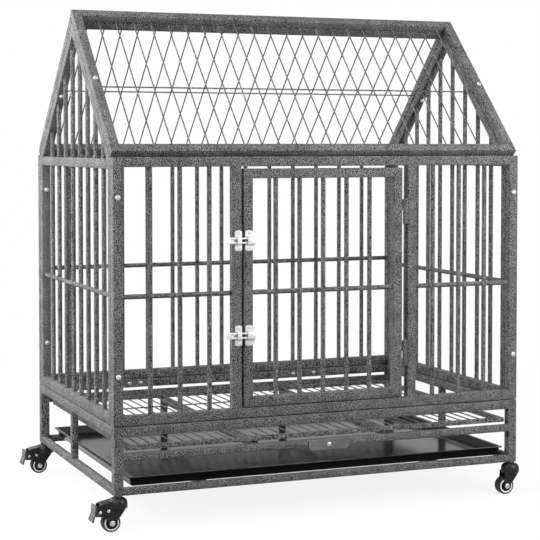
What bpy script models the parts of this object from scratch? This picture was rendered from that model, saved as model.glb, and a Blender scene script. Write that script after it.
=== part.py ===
"""Dog cage on casters: welded tube panels, a house roof, a hinged door, a floor grate and a tray.

Metres, +Z up. The pieces are laid out about the middle of the cage's footprint at floor level, +X to
the right and +Y to the back, and the whole is then moved so that the world origin is the bottom centre
of everything. Pieces that touch on the real cage keep a seam of a third of a millimetre here.
"""

import math

import bmesh
import bpy
from mathutils import Matrix, Vector
from mathutils.geometry import tessellate_polygon

# Overall sizes of the cage without its casters' trail
CAGE_WIDTH = 0.920
CAGE_DEPTH = 0.620
CAGE_HEIGHT = 1.060
BASE_HEIGHT = 0.139
WALL_HEIGHT = 0.535

# Stock that the cage is welded from
TUBE = 0.020
SMALL_TUBE = 0.015
BAR_RADIUS = 0.005
WIRE_RADIUS = 0.0015
GRATE_WIRE = 0.0030
BAR_SIDES = 6
WIRE_SIDES = 6

# Gaps and overlaps
SEAM = 0.0003
WELD = 0.0010

# Bars of the wall panels
WALL_BAR_PITCH = 0.063
FRONT_BAR_SPREAD = 0.003
BACK_BAR_SHIFT = -0.007
SIDE_BAR_PITCH = 0.060
SIDE_BAR_COUNT = 8
MID_BAR_SHARE = 0.480
BACK_MID_BAR_SHARE = 0.505

# Doorway and door
DOORWAY_LEFT = -0.188
DOORWAY_RIGHT = 0.191
DOOR_GAP_LEFT = 0.005
DOOR_GAP_RIGHT = 0.013
DOOR_GAP_TOP = 0.0045
DOOR_GAP_BOTTOM = 0.002
DOOR_BAR_COUNT = 5

# Lift-off hinges; a pair's two ends are measured from the wall's bottom and from its top
KNUCKLE_RADIUS = 0.0055
KNUCKLE_GAP = 0.0004
KNUCKLE_WALL = 0.0045
HINGE_PIN_RADIUS = 0.0029
HINGE_BORE_RADIUS = 0.0034
HINGE_ENDS = (0.1167, 0.1173)
KNUCKLE_LENGTH = 0.027

# Slide latches
LATCH_ENDS = (0.1697, 0.1710)
LATCH_PLATE_WIDTH = 0.0154
LATCH_PLATE_HEIGHT = 0.0425
LATCH_PLATE_ROUNDING = 0.0026
LATCH_PLATE_STEPS = 4
LATCH_PLATE_THICKNESS = 0.0020
KEEPER_WIDTH = 0.020
KEEPER_INSET = 0.002
BRIDGE_HEIGHT = 0.018
BRIDGE_WALL = 0.0018
ROD_RADIUS = 0.0020
ROD_SPACING = 0.009
ROD_CLEARANCE = 0.0004
ROD_REACH = 0.017
PADDLE_LENGTH = 0.018
PADDLE_HEIGHT = 0.0137
PADDLE_TIP_HEIGHT = 0.0090
PADDLE_TAPER = 0.004
PADDLE_GAP = 0.0025
PADDLE_GRIP = 0.008

# Base rails
MID_RAIL_RISE = 0.068
REAR_RAIL_RISE = 0.094
SIDE_MID_POST_Y = 0.020
SUPPORT_X = 0.155
SUPPORT_RISE = 0.006
RUNNER_X = 0.266

# Floor grate
GRATE_HEIGHT = 0.0095
GRATE_FRAME = 0.010
GRATE_SIDE_GAP = 0.009
GRATE_FRONT_GAP = 0.005
GRATE_REAR_GAP = 0.001
GRATE_WIRE_PITCH = 0.0236
GRATE_CROSS_WIRE_COUNT = 3

# Waste tray
TRAY_HEIGHT = 0.0195
TRAY_WALL = 0.0020
TRAY_RIM_WIDTH = 0.005
TRAY_TAPER = 0.005
TRAY_SIDE_GAP = 0.010
TRAY_FRONT_GAP = 0.004
TRAY_REAR_GAP = 0.001

# Turn latch on the front mid rail
TURN_LATCH_X = 0.006
TURN_LATCH_LENGTH = 0.092
TURN_LATCH_HEIGHT = 0.0215
TURN_LATCH_THICKNESS = 0.003
TURN_LATCH_CLIP = 0.005

# Roof
EAVE_DROP = 0.0036
ROOF_WIRE_PITCH = 0.0392
ROOF_WIRE_OFFSET = 0.010
ROOF_WIRE_DEPTH = 0.0055
ROOF_CROSS_WIRE_DROP = 2 * WIRE_RADIUS + SEAM
ROOF_BOLT_Y = 0.139

# Bolts and screws
BOLT_RADIUS = 0.0029
BOLT_HOLE_RADIUS = 0.0035
BOLT_HEAD_RADIUS = 0.0055
BOLT_HEAD_HEIGHT = 0.0035
NUT_RADIUS = 0.0055
NUT_HEIGHT = 0.005
BOLT_TAIL = 0.002
BOLT_ENDS = (0.0987, 0.0803)
HEAD_TAPER = 0.72
SCREW_RADIUS = 0.0020
SCREW_HOLE_RADIUS = 0.0026
SCREW_HEAD_RADIUS = 0.0048
SCREW_HEAD_HEIGHT = 0.0022
SCREW_LENGTH = 0.013
FASTENER_SIDES = 8

# Joining plates inside the base's rear rail: centre, length and the distance between their screws
JOINING_PLATES = {"left": (-0.231, 0.043, 0.0275), "right": (0.206, 0.068, 0.055)}
JOINING_PLATE_HEIGHT = 0.018
JOINING_PLATE_THICKNESS = 0.0025

# Casters
WHEEL_RADIUS = 0.019
WHEEL_WIDTH = 0.020
TREAD_DEPTH = 0.006
HUB_WIDTH = 0.019
WHEEL_TRAIL = 0.015
WHEEL_SIDES = 16
TYRE_EDGE = 0.0015
FORK_HEAD_HEIGHT = 0.033
AXLE_RADIUS = 0.0029
AXLE_BORE_RADIUS = 0.0034
AXLE_HEAD_RADIUS = 0.0055
AXLE_HEAD_HEIGHT = 0.0020
CHEEK_GAP = 0.0006
CHEEK_THICKNESS = 0.003
DOME_RADIUS = 0.0198
STEM_RADIUS = 0.0050
STEM_HOLE_RADIUS = 0.0056
STEM_LENGTH = 0.028
COLLAR_RADIUS = 0.009
COLLAR_HEIGHT = 0.003
KINGPIN_RADIUS = 0.0036
KINGPIN_BORE_RADIUS = 0.0042
KINGPIN_HEAD_RADIUS = 0.0060
KINGPIN_HEAD_HEIGHT = 0.0025
CASTER_SIDES = 16
RIVET_RADIUS = 0.0024
PEDAL_BORE_RADIUS = 0.0030
PEDAL_PAD_WIDTH = 0.030
PEDAL_ARM_WIDTH = 0.016
PEDAL_HUB_RADIUS = 0.0050
PEDAL_NOSE_GAP = 0.0012
PEDAL_NOSE_HALF = 0.0022

# Points of the fork: x from the swivel axis, or a share of the dome's radius, and the drop from the post
DOME_PROFILE = ((1.0, 0.0245), (1.0, 0.0140), (0.86, 0.0073), (0.60, 0.0038))
BOSS_RADIUS = 0.0085
BOSS_ANGLES = (20, -10, -40, -70, -100, -130, -160)
CHEEK_FRONT = (0.0183, 0.0170)
CHEEK_FRONT_FOOT = (0.0015, 0.0105)
PLAIN_CHEEK_REAR = ((-0.0188, 0.0310), (-0.0193, 0.0170))
COVER_REAR = ((-0.0275, 0.0380), (-0.0386, 0.0345), (-0.0426, 0.0300), (-0.0426, 0.0165),
              (-0.0386, 0.0125), (-0.0198, 0.0090), (-0.0100, 0.0068))
COVER_ROOF = ((-0.0100, 0.0068), (-0.0198, 0.0090), (-0.0386, 0.0125),
              (-0.0386, 0.0150), (-0.0198, 0.0115), (-0.0100, 0.0115))
COVER_RIVET = (-0.0225, 0.0269)
PEDAL_PIVOT = (-0.0396, 0.0283)

# Points of the brake pedal, as x and z from its pivot
PEDAL_PAD_TOP = (-0.0062, 0.0130)
PEDAL_PAD_FOOT = (-0.0135, -0.0190)
PEDAL_PAD_DEPTH = (-0.0040, 0.0010)
PEDAL_HEEL = (0.0030, 0.0045)
PEDAL_ARM_SHARES = (0.30, 0.70)

# Colours (linear), roughness and metallic value of each finish
HAMMERTONE = ((0.105, 0.105, 0.110), 0.42, 0.55)
ZINC = ((0.72, 0.72, 0.70), 0.30, 0.95)
STEEL = ((0.55, 0.55, 0.56), 0.28, 0.95)
BLACK_PLASTIC = ((0.012, 0.012, 0.013), 0.35, 0.0)
TRAY_BLACK = ((0.010, 0.010, 0.011), 0.15, 0.0)
TYRE_BLACK = ((0.016, 0.016, 0.017), 0.60, 0.0)
PEDAL_GREY = ((0.050, 0.050, 0.054), 0.50, 0.0)

# Values worked out from the sizes above
HALF_WIDTH = CAGE_WIDTH / 2
HALF_DEPTH = CAGE_DEPTH / 2
CASTER_HEIGHT = 2 * WHEEL_RADIUS + FORK_HEAD_HEIGHT
BASE_TOP = CASTER_HEIGHT + BASE_HEIGHT
WALL_BOTTOM = BASE_TOP + SEAM
WALL_TOP = WALL_BOTTOM + WALL_HEIGHT
INNER_X = HALF_WIDTH - TUBE
INNER_Y = HALF_DEPTH - TUBE
ROOF_RISE = CAGE_HEIGHT - WALL_TOP + EAVE_DROP
ROOF_ANGLE = math.acos(TUBE / math.hypot(ROOF_RISE, INNER_Y)) - math.atan2(INNER_Y, ROOF_RISE)
RIDGE_Z = CAGE_HEIGHT - TUBE / math.cos(ROOF_ANGLE)
SLOPE = math.tan(ROOF_ANGLE)
RIDGE_CLEARANCE = (SEAM + max(0.0, TUBE * math.cos(2 * ROOF_ANGLE))) / math.sin(2 * ROOF_ANGLE)
MID_RAIL_Z = CASTER_HEIGHT + MID_RAIL_RISE
MID_RAIL_TOP = MID_RAIL_Z + SMALL_TUBE
REAR_RAIL_Z = CASTER_HEIGHT + REAR_RAIL_RISE
SUPPORT_TOP = MID_RAIL_TOP + SUPPORT_RISE
BOTTOM_RAIL_TOP = CASTER_HEIGHT + SMALL_TUBE
REAR_RAIL_FACE = HALF_DEPTH - SMALL_TUBE
TURN_LATCH_Z = MID_RAIL_TOP - TURN_LATCH_HEIGHT / 2
FRONT_Y = -HALF_DEPTH
MID_BAR_Z = WALL_BOTTOM + WALL_HEIGHT * MID_BAR_SHARE
BACK_MID_BAR_Z = WALL_BOTTOM + WALL_HEIGHT * BACK_MID_BAR_SHARE
HINGE_SPLITS = {"lower": WALL_BOTTOM + HINGE_ENDS[0], "upper": WALL_TOP - HINGE_ENDS[1]}
LATCH_HEIGHTS = {"lower": WALL_BOTTOM + LATCH_ENDS[0], "upper": WALL_TOP - LATCH_ENDS[1]}
BOLT_HEIGHTS = {"lower": WALL_BOTTOM + BOLT_ENDS[0], "upper": WALL_TOP - BOLT_ENDS[1]}
DOME_ROOF_Z = CASTER_HEIGHT - DOME_PROFILE[0][1]
DOME_TOP_Z = CASTER_HEIGHT - DOME_PROFILE[-1][1]

AXES = {"X": (1, 2, 0), "Y": (0, 2, 1), "Z": (0, 1, 2)}


def clear_scene():
    """Remove what the opened file holds."""
    for item in list(bpy.data.objects):
        bpy.data.objects.remove(item, do_unlink=True)


def link(name, bm):
    """Make an object of a bmesh and free the bmesh."""
    bmesh.ops.recalc_face_normals(bm, faces=bm.faces)
    mesh = bpy.data.meshes.new(name)
    bm.to_mesh(mesh)
    bm.free()
    item = bpy.data.objects.new(name, mesh)
    bpy.context.scene.collection.objects.link(item)
    return item


def plate(loops, start, end, axis="Y", place=None):
    """A flat plate of an outline with holes, extruded along an axis from start to end.

    The loops are the outline and then its holes, as pairs of the two other coordinates in their order.
    """
    first, second, third = AXES[axis]
    bm = bmesh.new()
    layers = []
    for level in (start, end):
        layer = []
        for loop in loops:
            for pair in loop:
                point = [0.0, 0.0, 0.0]
                point[first] = pair[0]
                point[second] = pair[1]
                point[third] = level
                layer.append(bm.verts.new(point))
        layers.append(layer)
    flat = [[Vector((pair[0], pair[1], 0.0)) for pair in loop] for loop in loops]
    for triangle in tessellate_polygon(flat):
        for layer in layers:
            bm.faces.new([layer[corner] for corner in triangle])
    offset = 0
    for loop in loops:
        for corner in range(len(loop)):
            here = offset + corner
            after = offset + (corner + 1) % len(loop)
            bm.faces.new([layers[0][here], layers[0][after], layers[1][after], layers[1][here]])
        offset += len(loop)
    if place is not None:
        bmesh.ops.transform(bm, matrix=place, verts=bm.verts)
    return link("member", bm)


def rectangle(left, right, low, high):
    """The four corners of an upright rectangle."""
    return [(left, low), (right, low), (right, high), (left, high)]


def box(low, high):
    """A box between two corners."""
    return plate([rectangle(low[0], high[0], low[1], high[1])], low[2], high[2], "Z")


def turned(profile, start, direction, sides=FASTENER_SIDES):
    """A closed turned body of pairs of radius and distance along a direction from a start point.

    A flat side of the body faces down or, on an upright axis, forward.
    """
    bm = bmesh.new()
    turn = Vector(direction).to_track_quat("Z", "Y").to_matrix().to_4x4()
    rings = []
    for radius, distance in profile:
        ring = []
        for side in range(sides):
            angle = 2 * math.pi * (side + 0.5) / sides - math.pi / 2
            ring.append(bm.verts.new((radius * math.cos(angle), radius * math.sin(angle), distance)))
        rings.append(ring)
    for low, high in zip(rings, rings[1:]):
        for side in range(sides):
            after = (side + 1) % sides
            bm.faces.new([low[side], low[after], high[after], high[side]])
    bm.faces.new(rings[0])
    bm.faces.new(rings[-1])
    bmesh.ops.transform(bm, matrix=Matrix.Translation(start) @ turn, verts=bm.verts)
    return link("member", bm)


def rod(start, end, radius, sides=BAR_SIDES):
    """A round bar between two points."""
    run = Vector(end) - Vector(start)
    return turned([(radius, 0.0), (radius, run.length)], start, run, sides)


def boolean(body, tools, operation):
    """Add an exact Boolean of several tools to a body."""
    group = bpy.data.collections.new("tools")
    for tool in tools:
        group.objects.link(tool)
    modifier = body.modifiers.new(operation.lower(), "BOOLEAN")
    modifier.operand_type = "COLLECTION"
    modifier.collection = group
    modifier.operation = operation
    modifier.solver = "EXACT"
    return group


def weld(members, cutters=()):
    """One body from overlapping members, with the cutters' shapes taken out of it."""
    body = members[0]
    groups = []
    if len(members) > 1:
        groups.append(boolean(body, members[1:], "UNION"))
    if cutters:
        groups.append(boolean(body, cutters, "DIFFERENCE"))
    bpy.context.view_layer.update()
    graph = bpy.context.evaluated_depsgraph_get()
    mesh = bpy.data.meshes.new_from_object(body.evaluated_get(graph))
    for item in [*members, *cutters]:
        bpy.data.objects.remove(item, do_unlink=True)
    for group in groups:
        bpy.data.collections.remove(group)
    result = bpy.data.objects.new("member", mesh)
    bpy.context.scene.collection.objects.link(result)
    return result


def finish(name, body, look, origin=(0.0, 0.0, 0.0), parent=None, smooth=False):
    """Name a body, give it its material, put its origin on a point and hang it on its parent."""
    colour, roughness, metallic = look
    body.name = name
    body.data.name = name
    body.data.transform(Matrix.Translation(-Vector(origin)))
    material = bpy.data.materials.new(name)
    material.use_nodes = True
    shader = material.node_tree.nodes["Principled BSDF"]
    shader.inputs["Base Color"].default_value = (*colour, 1.0)
    shader.inputs["Roughness"].default_value = roughness
    shader.inputs["Metallic"].default_value = metallic
    body.data.materials.clear()
    body.data.materials.append(material)
    if smooth:
        body.data.shade_smooth()
        body.data.set_sharp_from_angle(angle=math.radians(35))
    body.location = Vector(origin)
    body.parent = parent
    return body


def wall_bolt_hole(side_x, height, front):
    """A cutter through one wall panel's stile and the side panel's post behind it."""
    y = front * (HALF_DEPTH + TUBE)
    return rod((side_x, y, height), (side_x, front * (INNER_Y - 2 * TUBE), height),
               BOLT_HOLE_RADIUS, FASTENER_SIDES)


def wall_bolt_holes(front, sides=(-1, 1)):
    """The cutters for a wall's corner bolts."""
    bolt_x = HALF_WIDTH - TUBE / 2
    return [wall_bolt_hole(side * bolt_x, height, front)
            for side in sides for height in BOLT_HEIGHTS.values()]


def slope_point(front, along, out):
    """A point of a roof slope's plane: along runs down from the ridge, out leaves the cage."""
    down_y, down_z = math.cos(ROOF_ANGLE), -math.sin(ROOF_ANGLE)
    out_y, out_z = math.sin(ROOF_ANGLE), math.cos(ROOF_ANGLE)
    return front * (along * down_y + out * out_y), RIDGE_Z + along * down_z + out * out_z


def roof_bolt_along():
    """How far down the slope the roof bolts lie."""
    return ROOF_BOLT_Y / math.cos(ROOF_ANGLE)


def roof_bolt_hole(side, front):
    """A cutter through a roof frame's side tube and the rafter under it."""
    x = side * (HALF_WIDTH - TUBE / 2)
    top = slope_point(front, roof_bolt_along(), 2 * TUBE)
    low = slope_point(front, roof_bolt_along(), -2 * TUBE)
    return rod((x, *top), (x, *low), BOLT_HOLE_RADIUS, FASTENER_SIDES)


def base_frame(parent):
    """The welded stand: posts, three levels of rails, supports for the grate and runners for the tray."""
    members = []
    for side in (-1, 1):
        for end in (-1, 1):
            xs = sorted((side * INNER_X, side * HALF_WIDTH))
            ys = sorted((end * INNER_Y, end * HALF_DEPTH))
            members.append(box((xs[0], ys[0], CASTER_HEIGHT), (xs[1], ys[1], BASE_TOP)))
    outer = rectangle(-HALF_WIDTH, HALF_WIDTH, -HALF_DEPTH, HALF_DEPTH)
    inner = rectangle(-INNER_X, INNER_X, -INNER_Y, INNER_Y)
    members.append(plate([outer, inner], BASE_TOP - TUBE, BASE_TOP, "Z"))
    small_x = HALF_WIDTH - SMALL_TUBE
    small_y = HALF_DEPTH - SMALL_TUBE
    small_ring = rectangle(-small_x, small_x, -small_y, small_y)
    members.append(plate([outer, small_ring], CASTER_HEIGHT, BOTTOM_RAIL_TOP, "Z"))
    members.append(box((-INNER_X - WELD, FRONT_Y, MID_RAIL_Z), (INNER_X + WELD, -small_y, MID_RAIL_TOP)))
    members.append(box((-INNER_X - WELD, REAR_RAIL_FACE, REAR_RAIL_Z),
                       (INNER_X + WELD, HALF_DEPTH, REAR_RAIL_Z + SMALL_TUBE)))
    for side in (-1, 1):
        xs = sorted((side * small_x, side * HALF_WIDTH))
        post_y = SIDE_MID_POST_Y
        members.append(box((xs[0], post_y - SMALL_TUBE / 2, BOTTOM_RAIL_TOP - WELD),
                           (xs[1], post_y + SMALL_TUBE / 2, BASE_TOP - TUBE + WELD)))
        support = (side * SUPPORT_X - SMALL_TUBE / 2, side * SUPPORT_X + SMALL_TUBE / 2)
        members.append(box((support[0], REAR_RAIL_FACE, BOTTOM_RAIL_TOP - WELD),
                           (support[1], HALF_DEPTH, REAR_RAIL_Z + WELD)))
        members.append(box((support[0], -small_y - WELD, SUPPORT_TOP - SMALL_TUBE),
                           (support[1], REAR_RAIL_FACE + WELD, SUPPORT_TOP)))
        runner = (side * RUNNER_X - SMALL_TUBE / 2, side * RUNNER_X + SMALL_TUBE / 2)
        members.append(box((runner[0], -small_y - WELD, CASTER_HEIGHT),
                           (runner[1], small_y + WELD, BOTTOM_RAIL_TOP)))
    cutters = []
    for side in (-1, 1):
        for end in (-1, 1):
            x, y = caster_place(side, end)
            cutters.append(rod((x, y, CASTER_HEIGHT - STEM_LENGTH), (x, y, CASTER_HEIGHT + STEM_LENGTH),
                               STEM_HOLE_RADIUS, FASTENER_SIDES))
    cutters.append(rod((TURN_LATCH_X, FRONT_Y - SCREW_LENGTH, TURN_LATCH_Z),
                       (TURN_LATCH_X, FRONT_Y + SCREW_LENGTH - TURN_LATCH_THICKNESS, TURN_LATCH_Z),
                       SCREW_HOLE_RADIUS, FASTENER_SIDES))
    for centre, _, spacing in JOINING_PLATES.values():
        for x in (centre - spacing / 2, centre + spacing / 2):
            cutters.append(rod((x, INNER_Y - SCREW_LENGTH, joining_plate_z()),
                               (x, INNER_Y + SCREW_LENGTH, joining_plate_z()),
                               SCREW_HOLE_RADIUS, FASTENER_SIDES))
    finish("base_frame", weld(members, cutters), HAMMERTONE, parent=parent)


def upright_bars(places, y, low, high):
    """Vertical round bars at the given x."""
    return [rod((x, y, low), (x, y, high), BAR_RADIUS) for x in places]


def front_panel(parent):
    """The front wall: a frame with door posts, three bars and a mid bar on either side of the doorway."""
    y = FRONT_Y + TUBE / 2
    left_post = DOORWAY_LEFT - TUBE
    right_post = DOORWAY_RIGHT + TUBE
    low = WALL_BOTTOM + TUBE
    high = WALL_TOP - TUBE
    loops = [
        rectangle(-HALF_WIDTH, HALF_WIDTH, WALL_BOTTOM, WALL_TOP),
        rectangle(-INNER_X, left_post, low, high),
        rectangle(DOORWAY_LEFT, DOORWAY_RIGHT, low, high),
        rectangle(right_post, INNER_X, low, high),
    ]
    members = [plate(loops, FRONT_Y, FRONT_Y + TUBE)]
    for side, post in ((-1, left_post), (1, right_post)):
        count = int((INNER_X - BAR_RADIUS) / WALL_BAR_PITCH)
        places = [side * (WALL_BAR_PITCH * step + FRONT_BAR_SPREAD) for step in range(1, count + 1)]
        places = [x for x in places if abs(x) > abs(post) + 2 * BAR_RADIUS]
        members += upright_bars(places, y, low - WELD, high + WELD)
        ends = sorted((side * (INNER_X + WELD), post - side * WELD))
        members.append(rod((ends[0], y, MID_BAR_Z), (ends[1], y, MID_BAR_Z), BAR_RADIUS))
    cutters = wall_bolt_holes(-1)
    for split in HINGE_SPLITS.values():
        members += knuckle(split - KNUCKLE_LENGTH, split - KNUCKLE_GAP / 2, DOORWAY_RIGHT, 1)
        cutters.append(hinge_bore(split, -1))
    finish("front_panel", weld(members, cutters), HAMMERTONE, parent=parent)


def hinge_axis():
    """The hinges' place in the gap between the door and its post, in the front face's plane."""
    door_right = DOORWAY_RIGHT - DOOR_GAP_RIGHT
    return (door_right + DOORWAY_RIGHT) / 2, FRONT_Y


def knuckle(low, high, edge, side):
    """A hinge knuckle with the weld that joins it to an upright edge on its +X or -X side."""
    x, y = hinge_axis()
    barrel = rod((x, y, low), (x, y, high), KNUCKLE_RADIUS, CASTER_SIDES)
    ends = sorted((x + side * KNUCKLE_RADIUS / 2, edge + side * WELD))
    back_y = FRONT_Y + KNUCKLE_RADIUS / 2 + WELD
    bead = box((ends[0], FRONT_Y + WELD, low + WELD), (ends[1], back_y, high - WELD))
    return [barrel, bead]


def hinge_bore(split, end):
    """A cutter for a knuckle's blind bore, below or above the split between the knuckles."""
    x, y = hinge_axis()
    depth = KNUCKLE_LENGTH - KNUCKLE_WALL
    return rod((x, y, split - end * WELD), (x, y, split + end * depth), HINGE_BORE_RADIUS, FASTENER_SIDES)


def hinge_pins(parent):
    """The loose pins inside the two hinges."""
    x, y = hinge_axis()
    reach = KNUCKLE_LENGTH - KNUCKLE_WALL - SEAM
    for name, split in HINGE_SPLITS.items():
        pin = rod((x, y, split - reach), (x, y, split + reach), HINGE_PIN_RADIUS, FASTENER_SIDES)
        finish(f"hinge_pin_{name}", pin, STEEL, parent=parent)


def door(parent):
    """The door: a welded frame with five bars, a mid bar and the hinges' upper knuckles."""
    left = DOORWAY_LEFT + DOOR_GAP_LEFT
    right = DOORWAY_RIGHT - DOOR_GAP_RIGHT
    low = WALL_BOTTOM + TUBE + DOOR_GAP_BOTTOM
    high = WALL_TOP - TUBE - DOOR_GAP_TOP
    inner = rectangle(left + TUBE, right - TUBE, low + TUBE, high - TUBE)
    members = [plate([rectangle(left, right, low, high), inner], FRONT_Y, FRONT_Y + TUBE)]
    pitch = (right - left - 2 * TUBE) / (DOOR_BAR_COUNT + 1)
    places = [left + TUBE + pitch * step for step in range(1, DOOR_BAR_COUNT + 1)]
    y = FRONT_Y + TUBE / 2
    members += upright_bars(places, y, low + TUBE - WELD, high - TUBE + WELD)
    members.append(rod((left + TUBE - WELD, y, MID_BAR_Z), (right - TUBE + WELD, y, MID_BAR_Z), BAR_RADIUS))
    cutters = []
    for split in HINGE_SPLITS.values():
        members += knuckle(split + KNUCKLE_GAP / 2, split + KNUCKLE_LENGTH, right, -1)
        cutters.append(hinge_bore(split, 1))
    axis = (*hinge_axis(), 0.0)
    finish("door", weld(members, cutters), HAMMERTONE, axis, parent)


def rounded_plate(centre_x, centre_z, width, height):
    """The outline of an upright plate whose ends are shallow arcs."""
    points = []
    for end in (-1, 1):
        for step in range(LATCH_PLATE_STEPS + 1):
            share = end * (1 - 2 * step / LATCH_PLATE_STEPS)
            end_z = centre_z + end * (height / 2 - LATCH_PLATE_ROUNDING * share * share)
            points.append((centre_x + share * width / 2, end_z))
    return points


def latch_bridge(left, right, z, face):
    """The raised bridge of a latch plate or keeper, and the cutter for the slot that the rods run in."""
    depth = 2 * (ROD_RADIUS + ROD_CLEARANCE)
    top = face - LATCH_PLATE_THICKNESS - depth - BRIDGE_WALL
    block = box((left, top, z - BRIDGE_HEIGHT / 2), (right, face, z + BRIDGE_HEIGHT / 2))
    half = ROD_SPACING / 2 + ROD_RADIUS + ROD_CLEARANCE
    slot = box((left - WELD, top + BRIDGE_WALL, z - half),
               (right + WELD, face - LATCH_PLATE_THICKNESS, z + half))
    return block, slot


def latch(name, z, parent):
    """A slide latch: its plate on the door post, its keeper on the door and the bolt between them."""
    face = FRONT_Y - SEAM
    plate_right = DOORWAY_LEFT
    plate_left = plate_right - LATCH_PLATE_WIDTH
    keeper_left = DOORWAY_LEFT + DOOR_GAP_LEFT + KEEPER_INSET
    keeper_right = keeper_left + KEEPER_WIDTH
    for kind, left, right in (("plate", plate_left, plate_right), ("keeper", keeper_left, keeper_right)):
        outline = rounded_plate((left + right) / 2, z, right - left, LATCH_PLATE_HEIGHT)
        block, slot = latch_bridge(left, right, z, face)
        body = weld([plate([outline], face - LATCH_PLATE_THICKNESS, face), block], [slot])
        origin = (*hinge_axis(), 0.0) if kind == "keeper" else (0.0, 0.0, 0.0)
        finish(f"latch_{kind}_{name}", body, ZINC, origin, parent)
    rod_y = face - LATCH_PLATE_THICKNESS - ROD_RADIUS - ROD_CLEARANCE
    paddle_right = plate_left - PADDLE_GAP
    paddle_left = paddle_right - PADDLE_LENGTH
    waist = paddle_left + PADDLE_TAPER
    paddle = [
        (paddle_left, z - PADDLE_TIP_HEIGHT / 2),
        (waist, z - PADDLE_HEIGHT / 2),
        (paddle_right, z - PADDLE_HEIGHT / 2),
        (paddle_right, z + PADDLE_HEIGHT / 2),
        (waist, z + PADDLE_HEIGHT / 2),
        (paddle_left, z + PADDLE_TIP_HEIGHT / 2),
    ]
    members = [plate([paddle], rod_y - ROD_RADIUS - SEAM, rod_y + ROD_RADIUS + SEAM)]
    for step in (-1, 1):
        rod_z = z + step * ROD_SPACING / 2
        members.append(rod((paddle_right - PADDLE_GRIP, rod_y, rod_z),
                           (keeper_left + ROD_REACH, rod_y, rod_z), ROD_RADIUS))
    finish(f"latch_bolt_{name}", weld(members), ZINC, (paddle_right, rod_y, z), parent)


def back_panel(parent):
    """The rear wall: a frame with evenly spaced bars and a mid bar."""
    y = HALF_DEPTH - TUBE / 2
    low = WALL_BOTTOM + TUBE
    high = WALL_TOP - TUBE
    outer = rectangle(-HALF_WIDTH, HALF_WIDTH, WALL_BOTTOM, WALL_TOP)
    loops = [outer, rectangle(-INNER_X, INNER_X, low, high)]
    members = [plate(loops, INNER_Y, HALF_DEPTH)]
    count = int((INNER_X - 2 * BAR_RADIUS) / WALL_BAR_PITCH)
    places = [WALL_BAR_PITCH * step + BACK_BAR_SHIFT for step in range(-count, count + 1)]
    members += upright_bars(places, y, low - WELD, high + WELD)
    members.append(rod((-INNER_X - WELD, y, BACK_MID_BAR_Z), (INNER_X + WELD, y, BACK_MID_BAR_Z), BAR_RADIUS))
    finish("back_panel", weld(members, wall_bolt_holes(1)), HAMMERTONE, parent=parent)


def side_panel(name, side, parent):
    """A side wall with its gable: posts, bottom rail, tie rail, rafters and bars up to the rafters."""
    half = INNER_Y - SEAM
    eave = RIDGE_Z - SEAM / math.cos(ROOF_ANGLE) - half * SLOPE
    top = eave + half * SLOPE
    low = WALL_BOTTOM + TUBE
    rafter = TUBE / math.cos(ROOF_ANGLE)
    gable_half = (top - rafter - eave) / SLOPE
    loops = [
        [(-half, WALL_BOTTOM), (half, WALL_BOTTOM), (half, eave), (0.0, top), (-half, eave)],
        rectangle(-half + TUBE, half - TUBE, low, eave - TUBE),
        [(-gable_half, eave), (gable_half, eave), (0.0, top - rafter)],
    ]
    xs = sorted((side * INNER_X, side * HALF_WIDTH))
    members = [plate(loops, xs[0], xs[1], "X")]
    x = side * (HALF_WIDTH - TUBE / 2)
    for step in range(SIDE_BAR_COUNT):
        y = (step - (SIDE_BAR_COUNT - 1) / 2) * SIDE_BAR_PITCH
        under_rafter = top - rafter - (abs(y) - BAR_RADIUS) * SLOPE
        members.append(rod((x, y, low - WELD), (x, y, eave - TUBE + WELD), BAR_RADIUS))
        if under_rafter > eave + 2 * BAR_RADIUS:
            members.append(rod((x, y, eave - WELD), (x, y, under_rafter + WELD), BAR_RADIUS))
    members.append(rod((x, -half + TUBE - WELD, MID_BAR_Z), (x, half - TUBE + WELD, MID_BAR_Z), BAR_RADIUS))
    cutters = wall_bolt_holes(-1, (side,)) + wall_bolt_holes(1, (side,))
    cutters += [roof_bolt_hole(side, -1), roof_bolt_hole(side, 1)]
    finish(name, weld(members, cutters), HAMMERTONE, parent=parent)


def roof_end():
    """How far down the slope a roof frame ends, clear of the wall's inner top edge."""
    edge_y, edge_z = INNER_Y, WALL_TOP
    return edge_y * math.cos(ROOF_ANGLE) + (RIDGE_Z - edge_z) * math.sin(ROOF_ANGLE) - SEAM


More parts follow.
